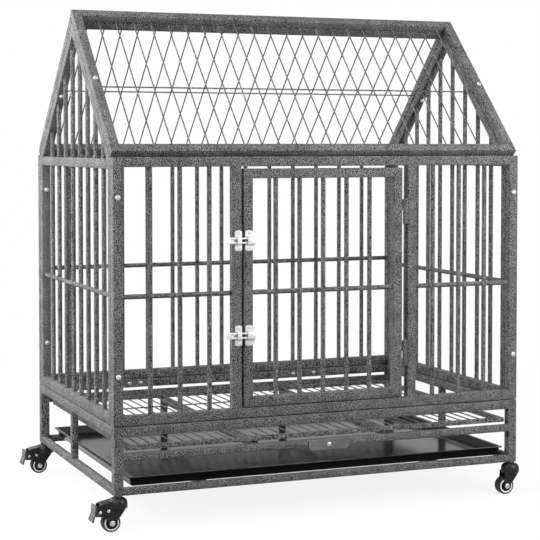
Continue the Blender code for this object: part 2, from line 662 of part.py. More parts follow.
def roof_panel(name, front, upper, parent):
    """A roof slope: a tube frame with fine wires down the slope and one across at mid slope.

    The front frame reaches over the ridge, and the rear frame starts as far down its own slope as it
    takes to clear the front one's underside, whatever the roof's angle.
    """
    lower = roof_end()
    place = Matrix(((1.0, 0.0, 0.0, 0.0),
                    (0.0, front * math.cos(ROOF_ANGLE), front * math.sin(ROOF_ANGLE), 0.0),
                    (0.0, -math.sin(ROOF_ANGLE), math.cos(ROOF_ANGLE), RIDGE_Z),
                    (0.0, 0.0, 0.0, 1.0)))
    loops = [
        rectangle(-HALF_WIDTH, HALF_WIDTH, upper, lower),
        rectangle(-INNER_X, INNER_X, upper + TUBE, lower - TUBE),
    ]
    members = [plate(loops, 0.0, TUBE, "Z", place)]
    count = int((INNER_X - 2 * WIRE_RADIUS) / ROOF_WIRE_PITCH)
    for step in range(-count, count + 1):
        x = front * ROOF_WIRE_OFFSET + ROOF_WIRE_PITCH * step
        if abs(x) > INNER_X - 2 * WIRE_RADIUS:
            continue
        start = (x, *slope_point(front, upper + TUBE - WELD, ROOF_WIRE_DEPTH))
        end = (x, *slope_point(front, lower - TUBE + WELD, ROOF_WIRE_DEPTH))
        members.append(rod(start, end, WIRE_RADIUS, WIRE_SIDES))
    middle = slope_point(front, lower / 2, ROOF_WIRE_DEPTH - ROOF_CROSS_WIRE_DROP)
    members.append(rod((-INNER_X - WELD, *middle), (INNER_X + WELD, *middle), WIRE_RADIUS, WIRE_SIDES))
    cutters = [roof_bolt_hole(-1, front), roof_bolt_hole(1, front)]
    finish(name, weld(members, cutters), HAMMERTONE, parent=parent)


def bolt_profile(grip):
    """A bolt with its head, shank and nut as one turned body; grip is the stack that it clamps."""
    head = BOLT_HEAD_HEIGHT
    nut = head + grip
    return [
        (BOLT_HEAD_RADIUS * HEAD_TAPER, 0.0),
        (BOLT_HEAD_RADIUS, head / 2),
        (BOLT_HEAD_RADIUS, head),
        (BOLT_RADIUS, head),
        (BOLT_RADIUS, nut),
        (NUT_RADIUS, nut),
        (NUT_RADIUS, nut + NUT_HEIGHT),
        (BOLT_RADIUS, nut + NUT_HEIGHT),
        (BOLT_RADIUS, nut + NUT_HEIGHT + BOLT_TAIL),
    ]


def bolts(parent):
    """The eight corner bolts and the four roof bolts."""
    grip = 2 * TUBE + 3 * SEAM
    ends = {"front": -1, "rear": 1}
    sides = {"left": -1, "right": 1}
    for end, front in ends.items():
        for side_name, side in sides.items():
            x = side * (HALF_WIDTH - TUBE / 2)
            for level, height in BOLT_HEIGHTS.items():
                start = (x, front * (HALF_DEPTH + SEAM + BOLT_HEAD_HEIGHT), height)
                body = turned(bolt_profile(grip), start, (0.0, -front, 0.0))
                finish(f"corner_bolt_{end}_{side_name}_{level}", body, STEEL, parent=parent)
            along = roof_bolt_along()
            top = slope_point(front, along, TUBE + SEAM + BOLT_HEAD_HEIGHT)
            under = slope_point(front, along, 0.0)
            run = (0.0, under[0] - top[0], under[1] - top[1])
            body = turned(bolt_profile(grip), (x, *top), run)
            finish(f"roof_bolt_{end}_{side_name}", body, STEEL, parent=parent)


def screw(head_point, direction, length):
    """A screw whose head's outer face lies on a point and whose shank runs along a direction."""
    profile = [
        (SCREW_HEAD_RADIUS * HEAD_TAPER, 0.0),
        (SCREW_HEAD_RADIUS, SCREW_HEAD_HEIGHT / 2),
        (SCREW_HEAD_RADIUS, SCREW_HEAD_HEIGHT),
        (SCREW_RADIUS, SCREW_HEAD_HEIGHT),
        (SCREW_RADIUS, SCREW_HEAD_HEIGHT + length),
    ]
    return turned(profile, head_point, direction)


def turn_latch(parent):
    """The turning plate that holds the grate and the tray in, and its screw."""
    z = TURN_LATCH_Z
    half_length = TURN_LATCH_LENGTH / 2
    half_height = TURN_LATCH_HEIGHT / 2
    clip = TURN_LATCH_CLIP
    corners = []
    for sx, sz in ((-1, -1), (1, -1), (1, 1), (-1, 1)):
        long_clip = (TURN_LATCH_X + sx * (half_length - clip), z + sz * half_height)
        short_clip = (TURN_LATCH_X + sx * half_length, z + sz * (half_height - clip))
        corners += [short_clip, long_clip] if sx * sz > 0 else [long_clip, short_clip]
    face = FRONT_Y - SEAM
    body = plate([corners], face - TURN_LATCH_THICKNESS, face)
    hole = rod((TURN_LATCH_X, face - SCREW_LENGTH, z), (TURN_LATCH_X, face + WELD, z),
               SCREW_HOLE_RADIUS, FASTENER_SIDES)
    origin = (TURN_LATCH_X, face, z)
    finish("turn_latch", weld([body], [hole]), HAMMERTONE, origin, parent)
    head_y = face - TURN_LATCH_THICKNESS - SEAM - SCREW_HEAD_HEIGHT
    turned = screw((TURN_LATCH_X, head_y, z), (0, 1, 0), SCREW_LENGTH)
    finish("turn_latch_screw", turned, STEEL, parent=parent)


def joining_plate_z():
    """The height of the joining plates' middle, on the base's rear top rail."""
    return BASE_TOP - TUBE / 2 - WELD


def joining_plates(parent):
    """The two screwed plates on the inner face of the base's rear top rail."""
    z = joining_plate_z()
    back = INNER_Y - SEAM
    front = back - JOINING_PLATE_THICKNESS
    for name, (centre, length, spacing) in JOINING_PLATES.items():
        half = JOINING_PLATE_HEIGHT / 2
        outline = rectangle(centre - length / 2, centre + length / 2, z - half, z + half)
        places = {"a": centre - spacing / 2, "b": centre + spacing / 2}
        holes = [rod((x, front - WELD, z), (x, back + WELD, z), SCREW_HOLE_RADIUS, FASTENER_SIDES)
                 for x in places.values()]
        drilled = weld([plate([outline], front, back)], holes)
        finish(f"joining_plate_{name}", drilled, HAMMERTONE, parent=parent)
        for letter, x in places.items():
            head = (x, front - SEAM - SCREW_HEAD_HEIGHT, z)
            turned = screw(head, (0, 1, 0), SCREW_LENGTH)
            finish(f"joining_screw_{name}_{letter}", turned, STEEL, parent=parent)


def floor_grate(parent):
    """The grate: a flat-bar frame with wires from front to back on top of a few cross wires."""
    half_x = INNER_X - GRATE_SIDE_GAP
    front = FRONT_Y + GRATE_FRONT_GAP
    rear = REAR_RAIL_FACE - GRATE_REAR_GAP
    low = SUPPORT_TOP + SEAM
    high = low + GRATE_HEIGHT
    outer = rectangle(-half_x, half_x, front, rear)
    inner_x = half_x - GRATE_FRAME
    inner = rectangle(-inner_x, inner_x, front + GRATE_FRAME, rear - GRATE_FRAME)
    members = [plate([outer, inner], low, high, "Z")]
    wire_top = high - WELD / 2
    wire_low = wire_top - GRATE_WIRE
    count = int((inner_x - GRATE_WIRE) / GRATE_WIRE_PITCH)
    for step in range(-count, count + 1):
        x = step * GRATE_WIRE_PITCH
        members.append(box((x - GRATE_WIRE / 2, front + GRATE_FRAME - WELD, wire_low),
                           (x + GRATE_WIRE / 2, rear - GRATE_FRAME + WELD, wire_top)))
    for step in range(GRATE_CROSS_WIRE_COUNT):
        y = front + (step + 1) * (rear - front) / (GRATE_CROSS_WIRE_COUNT + 1)
        members.append(box((-inner_x - WELD, y - GRATE_WIRE / 2, wire_low - GRATE_WIRE - SEAM),
                           (inner_x + WELD, y + GRATE_WIRE / 2, wire_low - SEAM)))
    origin = (0.0, front, low)
    finish("floor_grate", weld(members), HAMMERTONE, origin, parent)


def waste_tray(parent):
    """The tray: a tapered pan with an outward rim, open above."""
    rim_x = INNER_X - TRAY_SIDE_GAP
    front = FRONT_Y + TRAY_FRONT_GAP
    rear = REAR_RAIL_FACE - TRAY_REAR_GAP
    low = BOTTOM_RAIL_TOP + SEAM
    high = low + TRAY_HEIGHT
    rim = TRAY_RIM_WIDTH
    foot = rim + TRAY_TAPER
    wall = TRAY_WALL
    rings = [
        (foot, low),
        (rim, high - wall),
        (0.0, high - wall),
        (0.0, high),
        (rim + wall, high),
        (foot + wall, low + wall),
    ]
    bm = bmesh.new()
    layers = []
    for inset, z in rings:
        corners = rectangle(-rim_x + inset, rim_x - inset, front + inset, rear - inset)
        layers.append([bm.verts.new((x, y, z)) for x, y in corners])
    for lower, upper in zip(layers, layers[1:]):
        for corner in range(4):
            after = (corner + 1) % 4
            bm.faces.new([lower[corner], lower[after], upper[after], upper[corner]])
    bm.faces.new(layers[0])
    bm.faces.new(layers[-1])
    finish("waste_tray", link("member", bm), TRAY_BLACK, (0.0, 0.0, 0.0), parent)


def caster_place(side, end):
    """The x and y of a caster's swivel axis under a base post."""
    return side * (HALF_WIDTH - TUBE / 2), end * (HALF_DEPTH - TUBE / 2)


def fork_points(points, scale=1.0):
    """Points given with a drop from the post's foot, as x and z with z from the floor."""
    return [(px * scale, CASTER_HEIGHT - drop) for px, drop in points]


def cheek_outline(braked):
    """A fork cheek's outline about the swivel axis: a round boss on the axle, and the brake's cover."""
    foot_x, foot_rise = CHEEK_FRONT_FOOT
    points = fork_points([CHEEK_FRONT]) + [(foot_x, WHEEL_RADIUS + foot_rise)]
    for degrees in BOSS_ANGLES:
        angle = math.radians(degrees)
        x = BOSS_RADIUS * math.cos(angle) - WHEEL_TRAIL
        points.append((x, WHEEL_RADIUS + BOSS_RADIUS * math.sin(angle)))
    return points + fork_points(COVER_REAR if braked else PLAIN_CHEEK_REAR)


def caster_fork(x, y, braked):
    """The swivelling fork: a domed head over two cheeks, with its rivets where it carries a brake."""
    members = [turned(fork_points(DOME_PROFILE, DOME_RADIUS), (x, y, 0.0), (0, 0, 1), CASTER_SIDES)]
    inner = WHEEL_WIDTH / 2 + CHEEK_GAP
    outer = inner + CHEEK_THICKNESS
    outline = [(x + px, pz) for px, pz in cheek_outline(braked)]
    for side in (-1, 1):
        ends = sorted((y + side * inner, y + side * outer))
        members.append(plate([outline], ends[0], ends[1]))
    if braked:
        roof = [(x + px, pz) for px, pz in fork_points(COVER_ROOF)]
        members.append(plate([roof], y - inner - WELD, y + inner + WELD))
        for px, pz in fork_points([PEDAL_PIVOT, COVER_RIVET]):
            members.append(rod((x + px, y - outer - WELD, pz), (x + px, y + outer + WELD, pz),
                               RIVET_RADIUS, FASTENER_SIDES))
    axle_x = x - WHEEL_TRAIL
    cutters = [
        rod((x, y, DOME_ROOF_Z - WELD), (x, y, DOME_TOP_Z + WELD), KINGPIN_BORE_RADIUS, FASTENER_SIDES),
        rod((axle_x, y - outer - WELD, WHEEL_RADIUS), (axle_x, y + outer + WELD, WHEEL_RADIUS),
            AXLE_BORE_RADIUS, FASTENER_SIDES),
    ]
    return weld(members, cutters)


def brake_pedal(x, y):
    """The brake pedal: a pad outside the cover, an arm on the pivot rivet and a nose at the tyre."""
    pivot = Vector(fork_points([PEDAL_PIVOT])[0])
    to_axle = Vector((-WHEEL_TRAIL, WHEEL_RADIUS)) - pivot
    reach = to_axle.length - WHEEL_RADIUS - PEDAL_NOSE_GAP
    tip = pivot + to_axle.normalized() * reach
    across = Vector((-to_axle.y, to_axle.x)).normalized() * PEDAL_NOSE_HALF
    pad_top = pivot + Vector(PEDAL_PAD_TOP)
    pad_foot = pivot + Vector(PEDAL_PAD_FOOT)
    out = Vector(PEDAL_PAD_DEPTH)
    pad = [pad_top, pad_foot, pad_foot + out, pad_top + out]
    arm = [pad_top.lerp(pad_foot, share) + out / 2 for share in PEDAL_ARM_SHARES]
    arm += [tip - across, tip + across, pivot + Vector(PEDAL_HEEL)]
    width = PEDAL_PAD_WIDTH / 2
    narrow = PEDAL_ARM_WIDTH / 2
    pivot_x = x + pivot.x
    members = [
        plate([[(x + p.x, p.y) for p in pad]], y - width, y + width),
        plate([[(x + p.x, p.y) for p in arm]], y - narrow, y + narrow),
        rod((pivot_x, y - narrow, pivot.y), (pivot_x, y + narrow, pivot.y), PEDAL_HUB_RADIUS, FASTENER_SIDES),
    ]
    bore = rod((pivot_x, y - width, pivot.y), (pivot_x, y + width, pivot.y), PEDAL_BORE_RADIUS,
               FASTENER_SIDES)
    return weld(members, [bore])


def caster_stem(x, y):
    """The fixed stem: a shank in the post, a collar under it and the kingpin that the fork turns on."""
    collar_top = CASTER_HEIGHT - SEAM
    collar_low = collar_top - COLLAR_HEIGHT
    pin_low = DOME_ROOF_Z - SEAM
    shank_top = CASTER_HEIGHT + STEM_LENGTH - WELD
    profile = [
        (KINGPIN_HEAD_RADIUS, pin_low - KINGPIN_HEAD_HEIGHT),
        (KINGPIN_HEAD_RADIUS, pin_low),
        (KINGPIN_RADIUS, pin_low),
        (KINGPIN_RADIUS, collar_low),
        (COLLAR_RADIUS, collar_low),
        (COLLAR_RADIUS, collar_top),
        (STEM_RADIUS, collar_top),
        (STEM_RADIUS, shank_top),
    ]
    return turned(profile, (x, y, 0.0), (0, 0, 1), FASTENER_SIDES)


def ring_body(inner, outer, width, centre):
    """A turned ring about a Y axis, with its flat sides touching the given radii."""
    flat = math.cos(math.pi / WHEEL_SIDES)
    half = width / 2
    edge = TYRE_EDGE
    body = turned([(outer / flat - edge, -half), (outer / flat, -half + edge),
                   (outer / flat, half - edge), (outer / flat - edge, half)],
                  centre, (0, 1, 0), WHEEL_SIDES)
    start = (centre[0], centre[1] - width, centre[2])
    end = (centre[0], centre[1] + width, centre[2])
    return weld([body], [rod(start, end, inner / flat, WHEEL_SIDES)])


def casters(parent):
    """Four swivel casters: stem, fork, hub, tyre and axle, with a brake pedal on the two left ones."""
    for end_name, end in (("front", -1), ("rear", 1)):
        for side_name, side in (("left", -1), ("right", 1)):
            name = f"{end_name}_{side_name}"
            x, y = caster_place(side, end)
            braked = side < 0
            axle_place = (x - WHEEL_TRAIL, y, WHEEL_RADIUS)
            finish(f"caster_stem_{name}", caster_stem(x, y), STEEL, parent=parent)
            swivel = bpy.data.objects.new(f"swivel_{name}", None)
            bpy.context.scene.collection.objects.link(swivel)
            swivel.location = (x, y, 0.0)
            swivel.parent = parent
            here = Vector(swivel.location)
            parts = [("caster_fork", caster_fork(x, y, braked), BLACK_PLASTIC, (x, y, 0.0))]
            core = WHEEL_RADIUS - TREAD_DEPTH
            parts.append(("caster_hub", ring_body(AXLE_BORE_RADIUS, core - SEAM, HUB_WIDTH, axle_place),
                          BLACK_PLASTIC, axle_place))
            parts.append(("caster_tyre", ring_body(core, WHEEL_RADIUS, WHEEL_WIDTH, axle_place),
                          TYRE_BLACK, axle_place))
            reach = WHEEL_WIDTH / 2 + CHEEK_GAP + CHEEK_THICKNESS + SEAM
            axle = turned([(AXLE_HEAD_RADIUS, -reach - AXLE_HEAD_HEIGHT), (AXLE_HEAD_RADIUS, -reach),
                           (AXLE_RADIUS, -reach), (AXLE_RADIUS, reach),
                           (AXLE_HEAD_RADIUS, reach), (AXLE_HEAD_RADIUS, reach + AXLE_HEAD_HEIGHT)],
                          axle_place, (0, 1, 0))
            parts.append(("caster_axle", axle, STEEL, axle_place))
            if braked:
                pivot = (x + PEDAL_PIVOT[0], y, CASTER_HEIGHT - PEDAL_PIVOT[1])
                parts.append(("brake_pedal", brake_pedal(x, y), PEDAL_GREY, pivot))
            for kind, body, look, origin in parts:
                item = finish(f"{kind}_{name}", body, look, origin, swivel, smooth=kind == "caster_tyre")
                item.location = Vector(origin) - here


def centre_on_floor(cage):
    """Move the cage's empty so that the world origin is the bottom centre of all its pieces."""
    bpy.context.view_layer.update()
    corners = [item.matrix_world @ Vector(corner)
               for item in bpy.context.scene.objects if item.type == "MESH" for corner in item.bound_box]
    lows = [min(corner[axis] for corner in corners) for axis in range(3)]
    highs = [max(corner[axis] for corner in corners) for axis in range(3)]
    cage.location = (-(lows[0] + highs[0]) / 2, -(lows[1] + highs[1]) / 2, -lows[2])
    bpy.context.view_layer.update()


def main():
    """Build the cage."""
    clear_scene()
    cage = bpy.data.objects.new("cage_origin", None)
    bpy.context.scene.collection.objects.link(cage)
    base_frame(cage)
    front_panel(cage)
    door(cage)
    hinge_pins(cage)
    for name, height in LATCH_HEIGHTS.items():
        latch(name, height, cage)
    back_panel(cage)
    side_panel("side_panel_left", -1, cage)
    side_panel("side_panel_right", 1, cage)
    roof_panel("roof_panel_front", -1, -TUBE, cage)
    roof_panel("roof_panel_rear", 1, RIDGE_CLEARANCE, cage)
    bolts(cage)
    joining_plates(cage)
    turn_latch(cage)
    floor_grate(cage)
    waste_tray(cage)
    casters(cage)
    centre_on_floor(cage)


main()
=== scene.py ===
"""Dressed model of a house-roofed steel dog cage on casters.

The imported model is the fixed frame. Every piece here is a surface worked out in metres in that frame's
axes, +X to the right of the door side, +Y to the back and +Z up, and rides on the body that carries it.
"""

import logging
import math
from dataclasses import dataclass
from enum import Enum
from typing import Sequence

import bmesh
import bpy
import numpy as np
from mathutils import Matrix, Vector


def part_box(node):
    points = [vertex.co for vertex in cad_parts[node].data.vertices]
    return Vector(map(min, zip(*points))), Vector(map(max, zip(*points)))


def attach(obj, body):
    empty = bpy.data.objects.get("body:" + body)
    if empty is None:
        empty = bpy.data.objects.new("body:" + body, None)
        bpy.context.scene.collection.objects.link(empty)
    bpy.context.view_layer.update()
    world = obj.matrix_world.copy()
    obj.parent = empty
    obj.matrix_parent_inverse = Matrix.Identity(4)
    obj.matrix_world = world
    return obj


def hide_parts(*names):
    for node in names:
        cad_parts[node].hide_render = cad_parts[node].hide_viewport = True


Array = np.ndarray
Triple = Sequence[float]
Pair = tuple[float, float]

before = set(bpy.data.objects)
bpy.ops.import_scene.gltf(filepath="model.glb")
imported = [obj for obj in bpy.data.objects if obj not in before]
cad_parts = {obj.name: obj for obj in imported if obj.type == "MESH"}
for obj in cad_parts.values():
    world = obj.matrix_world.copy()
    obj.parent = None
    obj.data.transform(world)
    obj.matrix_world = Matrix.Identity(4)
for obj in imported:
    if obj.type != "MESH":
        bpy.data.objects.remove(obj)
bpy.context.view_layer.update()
log = logging.getLogger("dog_cage")

RIGHT = np.array((1.0, 0.0, 0.0))
BACK = np.array((0.0, 1.0, 0.0))
UP = np.array((0.0, 0.0, 1.0))
BURIED = 0.001
FACE_MARGIN = 1e-4
HEAD_MARGIN = 1e-5


class Side(Enum):
    """The cage's left and right, as the sign of X."""

    LEFT = -1
    RIGHT = 1


class End(Enum):
    """The cage's front and rear, as the sign of Y."""

    FRONT = -1
    REAR = 1


class Level(Enum):
    """The lower or the upper one of a pair of hinges, latches or bolts."""

    LOWER = 0
    UPPER = 1


def unit(vector: Triple) -> Array:
    """The vector at length one."""
    given = np.asarray(vector, dtype=float)
    return given / np.linalg.norm(given)


def circle(radius: float, sides: int, turn: float = 0.0) -> Array:
    """Outline of a circle: points at equal angles, the first one at the turn.

    Args:
        radius: The circle's radius.
        sides: How many points.
        turn: The first point's angle in radians.

    Returns:
        The outline as an array of pairs.
    """
    angle = turn + np.arange(sides) * 2 * math.pi / sides
    return radius * np.stack((np.cos(angle), np.sin(angle)), axis=-1)


def round_outline(width: float, height: float, radius: float, steps: int = 4) -> Array:
    """Outline of a rectangle with round corners.

    Each corner's centre lies one radius inside both of its sides, and its arc is a quarter turn about it.

    Args:
        width: Size along the first value.
        height: Size along the second value.
        radius: The corners' radius.
        steps: Points on each corner.

    Returns:
        The outline as an array of pairs, anticlockwise.
    """
    angle = np.arange(4)[:, None] * math.pi / 2 + np.linspace(0.0, math.pi / 2, steps)[None, :]
    across = np.array((1, -1, -1, 1))[:, None] * (width / 2 - radius) + radius * np.cos(angle)
    along = np.array((1, 1, -1, -1))[:, None] * (height / 2 - radius) + radius * np.sin(angle)
    return np.stack((across, along), axis=-1).reshape(-1, 2)


def rectangle(left: float, right: float, low: float, high: float) -> Array:
    """Outline of a rectangle, anticlockwise from its lowest left corner."""
    return np.array([(left, low), (right, low), (right, high), (left, high)])


def node_centre(name: str) -> Array:
    """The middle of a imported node's box."""
    low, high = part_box(name)
    return (np.array(low, dtype=float) + np.array(high, dtype=float)) / 2


def node_points(name: str) -> Array:
    """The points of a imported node's mesh, one row each."""
    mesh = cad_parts[name].data
    points = np.empty(len(mesh.vertices) * 3, dtype=np.float32)
    mesh.vertices.foreach_get("co", points)
    return points.reshape(-1, 3).astype(float)


def inset(outline: Array, amount: float) -> Array:
    """An anticlockwise outline moved inwards by an amount.

    Each side's line moves along its inner normal. A corner moves by the sum of its two sides' normals
    over one plus their product, times the amount, which is where the moved lines meet.

    Args:
        outline: Pairs, anticlockwise.
        amount: How far each side moves.

    Returns:
        The moved outline, with as many points.
    """
    run = np.roll(outline, -1, axis=0) - outline
    run = run / np.linalg.norm(run, axis=-1, keepdims=True)
    normal = np.stack((-run[:, 1], run[:, 0]), axis=-1)
    before = np.roll(normal, 1, axis=0)
    product = np.sum(normal * before, axis=-1, keepdims=True)
    return outline + amount * (normal + before) / (1 + product)


def soften(outline: Array, rounds: int = 2) -> Array:
    """An outline with its corners cut: each side gives its points at a quarter and three quarters."""
    for _ in range(rounds):
        after = np.roll(outline, -1, axis=0)
        outline = np.stack((0.75 * outline + 0.25 * after, 0.25 * outline + 0.75 * after), axis=1)
        outline = outline.reshape(-1, 2)
    return outline


def grid_quads(rows: int, columns: int, rows_close: bool) -> list[list[int]]:
    """Quads between neighbouring rows of a grid whose rows are closed rings.

    Args:
        rows: How many rings.
        columns: Points on each ring.
        rows_close: Whether the last ring joins the first one.

    Returns:
        Four corner numbers for each quad.
    """
    row = np.arange(rows if rows_close else rows - 1)[:, None]
    column = np.arange(columns)[None, :]
    after = (column + 1) % columns
    low = row * columns
    high = (row + 1) % rows * columns
    corners = (low + column, low + after, high + after, high + column)
    return np.stack(corners, axis=-1).reshape(-1, 4).tolist()


class Form:
    """Closed surfaces gathered into the mesh of one piece."""

    def __init__(self) -> None:
        """Start with no surface."""
        self._points: list[Array] = []
        self._faces: list[list[int]] = []
        self._count = 0

    def _take(self, points: Array, faces: list[list[int]]) -> None:
        """Add points and the faces that number them from nought."""
        self._faces += [[corner + self._count for corner in face] for face in faces]
        self._points.append(points)
        self._count += len(points)

    def loft(self, rings: Array) -> None:
        """Add a closed body through rings of points, with a flat cap on its first and its last ring.

        Args:
            rings: Rows of ring points as rows, columns and the three axes.
        """
        rows, columns = rings.shape[:2]
        first = list(range(columns))
        last = [(rows - 1) * columns + corner for corner in first]
        self._take(rings.reshape(-1, 3), [*grid_quads(rows, columns, False), first[::-1], last])

    def hoop(self, rings: Array) -> None:
        """Add a closed ring-shaped body, whose last ring of points joins its first one."""
        rows, columns = rings.shape[:2]
        self._take(rings.reshape(-1, 3), grid_quads(rows, columns, True))

    def stick(self, start: Triple, end: Triple, outline: Array, across: Triple = UP,
              bevel: float = 0.0) -> None:
        """Add a straight bar, an outline carried from one point to another.

        A ring point is the station on the run, plus the outline's first value along the across axis,
        plus its second value along the axis square to both. A bevel draws in both ends.

        Args:
            start: Where the bar begins.
            end: Where it ends.
            outline: The section.
            across: The direction of the section's first value.
            bevel: How far each end is drawn in.
        """
        origin = np.asarray(start, dtype=float)
        reach = np.asarray(end, dtype=float) - origin
        length = float(np.linalg.norm(reach))
        run = reach / length
        first = unit(np.asarray(across, dtype=float) - run * np.dot(run, across))
        second = np.cross(run, first)
        stations = np.array((0.0, length))
        scales = np.ones((2, 2))
        if bevel:
            stations = np.array((0.0, bevel, length - bevel, length))
            drawn = 1 - 2 * bevel / (outline.max(axis=0) - outline.min(axis=0))
            scales = np.array((drawn, (1.0, 1.0), (1.0, 1.0), drawn))
        flat = outline[None, :, :] * scales[:, None, :]
        rings = flat[..., :1] * first + flat[..., 1:] * second
        self.loft(origin + rings + stations[:, None, None] * run)

    def bar(self, start: Triple, end: Triple, radius: float, sides: int = 14) -> None:
        """Add a round bar between two points."""
        across = BACK if abs(unit(np.subtract(end, start))[2]) > 0.9 else UP
        self.stick(start, end, circle(radius, sides), across)

    def turned(self, profile: Sequence[Pair], start: Triple, direction: Triple, sides: int = 24,
               hollow: bool = False) -> None:
        """Add a turned body.

        Each pair of radius and distance becomes a ring: the start plus the distance along the
        direction, plus the radius times the cosine and sine of equal angles on the two square axes.

        Args:
            profile: Pairs of radius and distance.
            start: Where distance nought lies.
            direction: The axis.
            sides: Points on each ring.
            hollow: Whether the profile closes on itself round a bore.
        """
        run = unit(direction)
        first = unit(np.cross(run, RIGHT if abs(run[0]) < 0.9 else UP))
        second = np.cross(run, first)
        pairs = np.asarray(profile, dtype=float)
        ring = circle(1.0, sides, math.pi / sides)
        around = ring[:, :1] * first + ring[:, 1:] * second
        rings = np.asarray(start) + pairs[:, None, 1:] * run + pairs[:, None, :1] * around
        if hollow:
            self.hoop(rings)
        else:
            self.loft(rings)

    def swept(self, path: Array, outline: Array, across: Triple) -> None:
        """Add a bar that follows a path.

        The run at each point is the path's central difference, and the outline lies on the across
        axis and on the axis square to the run and to it.

        Args:
            path: Points in order.
            outline: The section.
            across: The direction of the section's first value, square to the path.
        """
        run = np.gradient(path, axis=0)
        run = run / np.linalg.norm(run, axis=-1, keepdims=True)
        second = np.cross(run, across)
        rings = outline[None, :, :1] * np.asarray(across) + outline[None, :, 1:] * second[:, None, :]
        self.loft(path[:, None, :] + rings)

    def mitred(self, outer: Array, width: float, depth: float, rounding: float, origin: Triple,
               axes: Sequence[Triple]) -> None:
        """Add a frame of tube that follows an outline, mitred at each of its corners.

        Each ring lies on a corner's bisector: a section point stands between the outer and the inner
        corner by its share across the tube, and off the outline's plane by its place through it.

        Args:
            outer: The frame's outer outline, anticlockwise.
            width: The tube's size in the outline's plane.
            depth: Its size square to that plane.
            rounding: The radius of its long edges.
            origin: Where the outline's origin lies.
            axes: The directions of the outline's two values and of the depth.
        """
        section = round_outline(width, depth, rounding, 3) + (width / 2, depth / 2)
        inner = inset(outer, width)
        share = section[None, :, :1] / width
        flat = outer[:, None, :] * (1 - share) + inner[:, None, :] * share
        first, second, third = (np.asarray(axis, dtype=float) for axis in axes)
        rings = np.asarray(origin) + flat[..., :1] * first + flat[..., 1:] * second
        self.hoop(rings + section[None, :, 1:] * third)

    def sheet(self, outline: Array, start: float, end: float, axis: int, bevel: float = 0.0) -> None:
        """Add a flat plate of an outline, between two places along an axis, with bevelled edges.

        Args:
            outline: Pairs of the two other coordinates, in their order.
            start: The plate's lower face.
            end: Its upper face.
            axis: The number of the axis square to it.
            bevel: The bevel of its edges.
        """
        levels = ((start, bevel), (start + bevel, 0.0), (end - bevel, 0.0), (end, bevel))
        rings = []
        for place, drawn in levels:
            flat = inset(outline, drawn)
            rings.append(np.insert(flat, axis, place, axis=1))
        self.loft(np.stack(rings))

    def holed(self, outline: Array, hole: float, start: float, end: float, axis: int,
              bevel: float) -> None:
        """Add a flat plate with a round hole at its outline's origin.

        A hole point lies at its outline point's angle, so both have as many points.

        Args:
            outline: Pairs about the hole's centre, in the order of the two other coordinates.
            hole: The hole's radius.
            start: The plate's lower face.
            end: Its upper face.
            axis: The number of the axis square to it.
            bevel: The bevel of its outer edges.
        """
        angle = np.arctan2(outline[:, 1], outline[:, 0])
        bore = hole * np.stack((np.cos(angle), np.sin(angle)), axis=-1)
        drawn = inset(outline, bevel)
        rows = ((drawn, start), (outline, start + bevel), (outline, end - bevel), (drawn, end),
                (bore, end), (bore, start))
        self.hoop(np.stack([np.insert(flat, axis, place, axis=1) for flat, place in rows]))

    def shifted(self, offset: Triple) -> "Form":
        """Move every surface so far gathered, and return the form."""
        self._points = [points + np.asarray(offset, dtype=float) for points in self._points]
        return self

    def mesh(self, name: str, crease: float = 35.0) -> bpy.types.Mesh:
        """Make the mesh, with outward faces and smooth shading up to a crease angle.

        Args:
            name: The mesh's name.
            crease: The angle in degrees past which an edge stays sharp.

        Returns:
            The finished mesh.
        """
        made = bpy.data.meshes.new(name)
        made.from_pydata(np.concatenate(self._points), [], self._faces)
        work = bmesh.new()
        work.from_mesh(made)
        bmesh.ops.recalc_face_normals(work, faces=work.faces)
        work.to_mesh(made)
        work.free()
        made.shade_smooth()
        made.set_sharp_from_angle(angle=math.radians(crease))
        return made


class Board:
    """A node tree with short ways to add nodes and to join them."""

    def __init__(self, tree: bpy.types.NodeTree) -> None:
        """Keep the tree."""
        self.tree = tree

    def add(self, kind: str, values: dict[int | str, object] | None = None,
            **settings: object) -> bpy.types.Node:
        """Add a node.

        Args:
            kind: The node's type without its leading words.
            values: Input sockets by name or number, each with a value or with the socket it reads.
            **settings: The node's own settings.

        Returns:
            The new node.
        """
        node = self.tree.nodes.new(kind if kind.startswith("Node") else "ShaderNode" + kind)
        for key, value in settings.items():
            setattr(node, key, value)
        for key, value in (values or {}).items():
            if isinstance(value, bpy.types.NodeSocket):
                self.tree.links.new(value, node.inputs[key])
            else:
                node.inputs[key].default_value = value
        return node

    def blend(self, share: object, first: object, second: object) -> bpy.types.NodeSocket:
        """Mix two colours by a share and return the mixed colour's socket."""
        node = self.add("Mix", {0: share, 6: first, 7: second}, data_type="RGBA")
        return node.outputs[2]

    def remap(self, value: object, low: float, high: float, to_low: float,
              to_high: float) -> bpy.types.NodeSocket:
        """Map a value's range smoothly to another range and return the result's socket."""
        numbers = {"Value": value, "From Min": low, "From Max": high, "To Min": to_low, "To Max": to_high}
        return self.add("MapRange", numbers, interpolation_type="SMOOTHSTEP").outputs["Result"]


def new_group(name: str, inputs: dict[str, tuple[str, object]], outputs: dict[str, str]) -> Board:
    """Start a shader node group with named sockets.

    Args:
        name: The group's name.
        inputs: Each input's socket type and its first value.
        outputs: Each output's socket type.

    Returns:
        A board on the group's tree, with its input and output nodes in place.
    """
    tree = bpy.data.node_groups.new(name, "ShaderNodeTree")
    for label, (kind, value) in inputs.items():
        socket = tree.interface.new_socket(name=label, in_out="INPUT", socket_type=kind)
        if value is not None:
            socket.default_value = value
    for label, kind in outputs.items():
        tree.interface.new_socket(name=label, in_out="OUTPUT", socket_type=kind)
    return Board(tree)


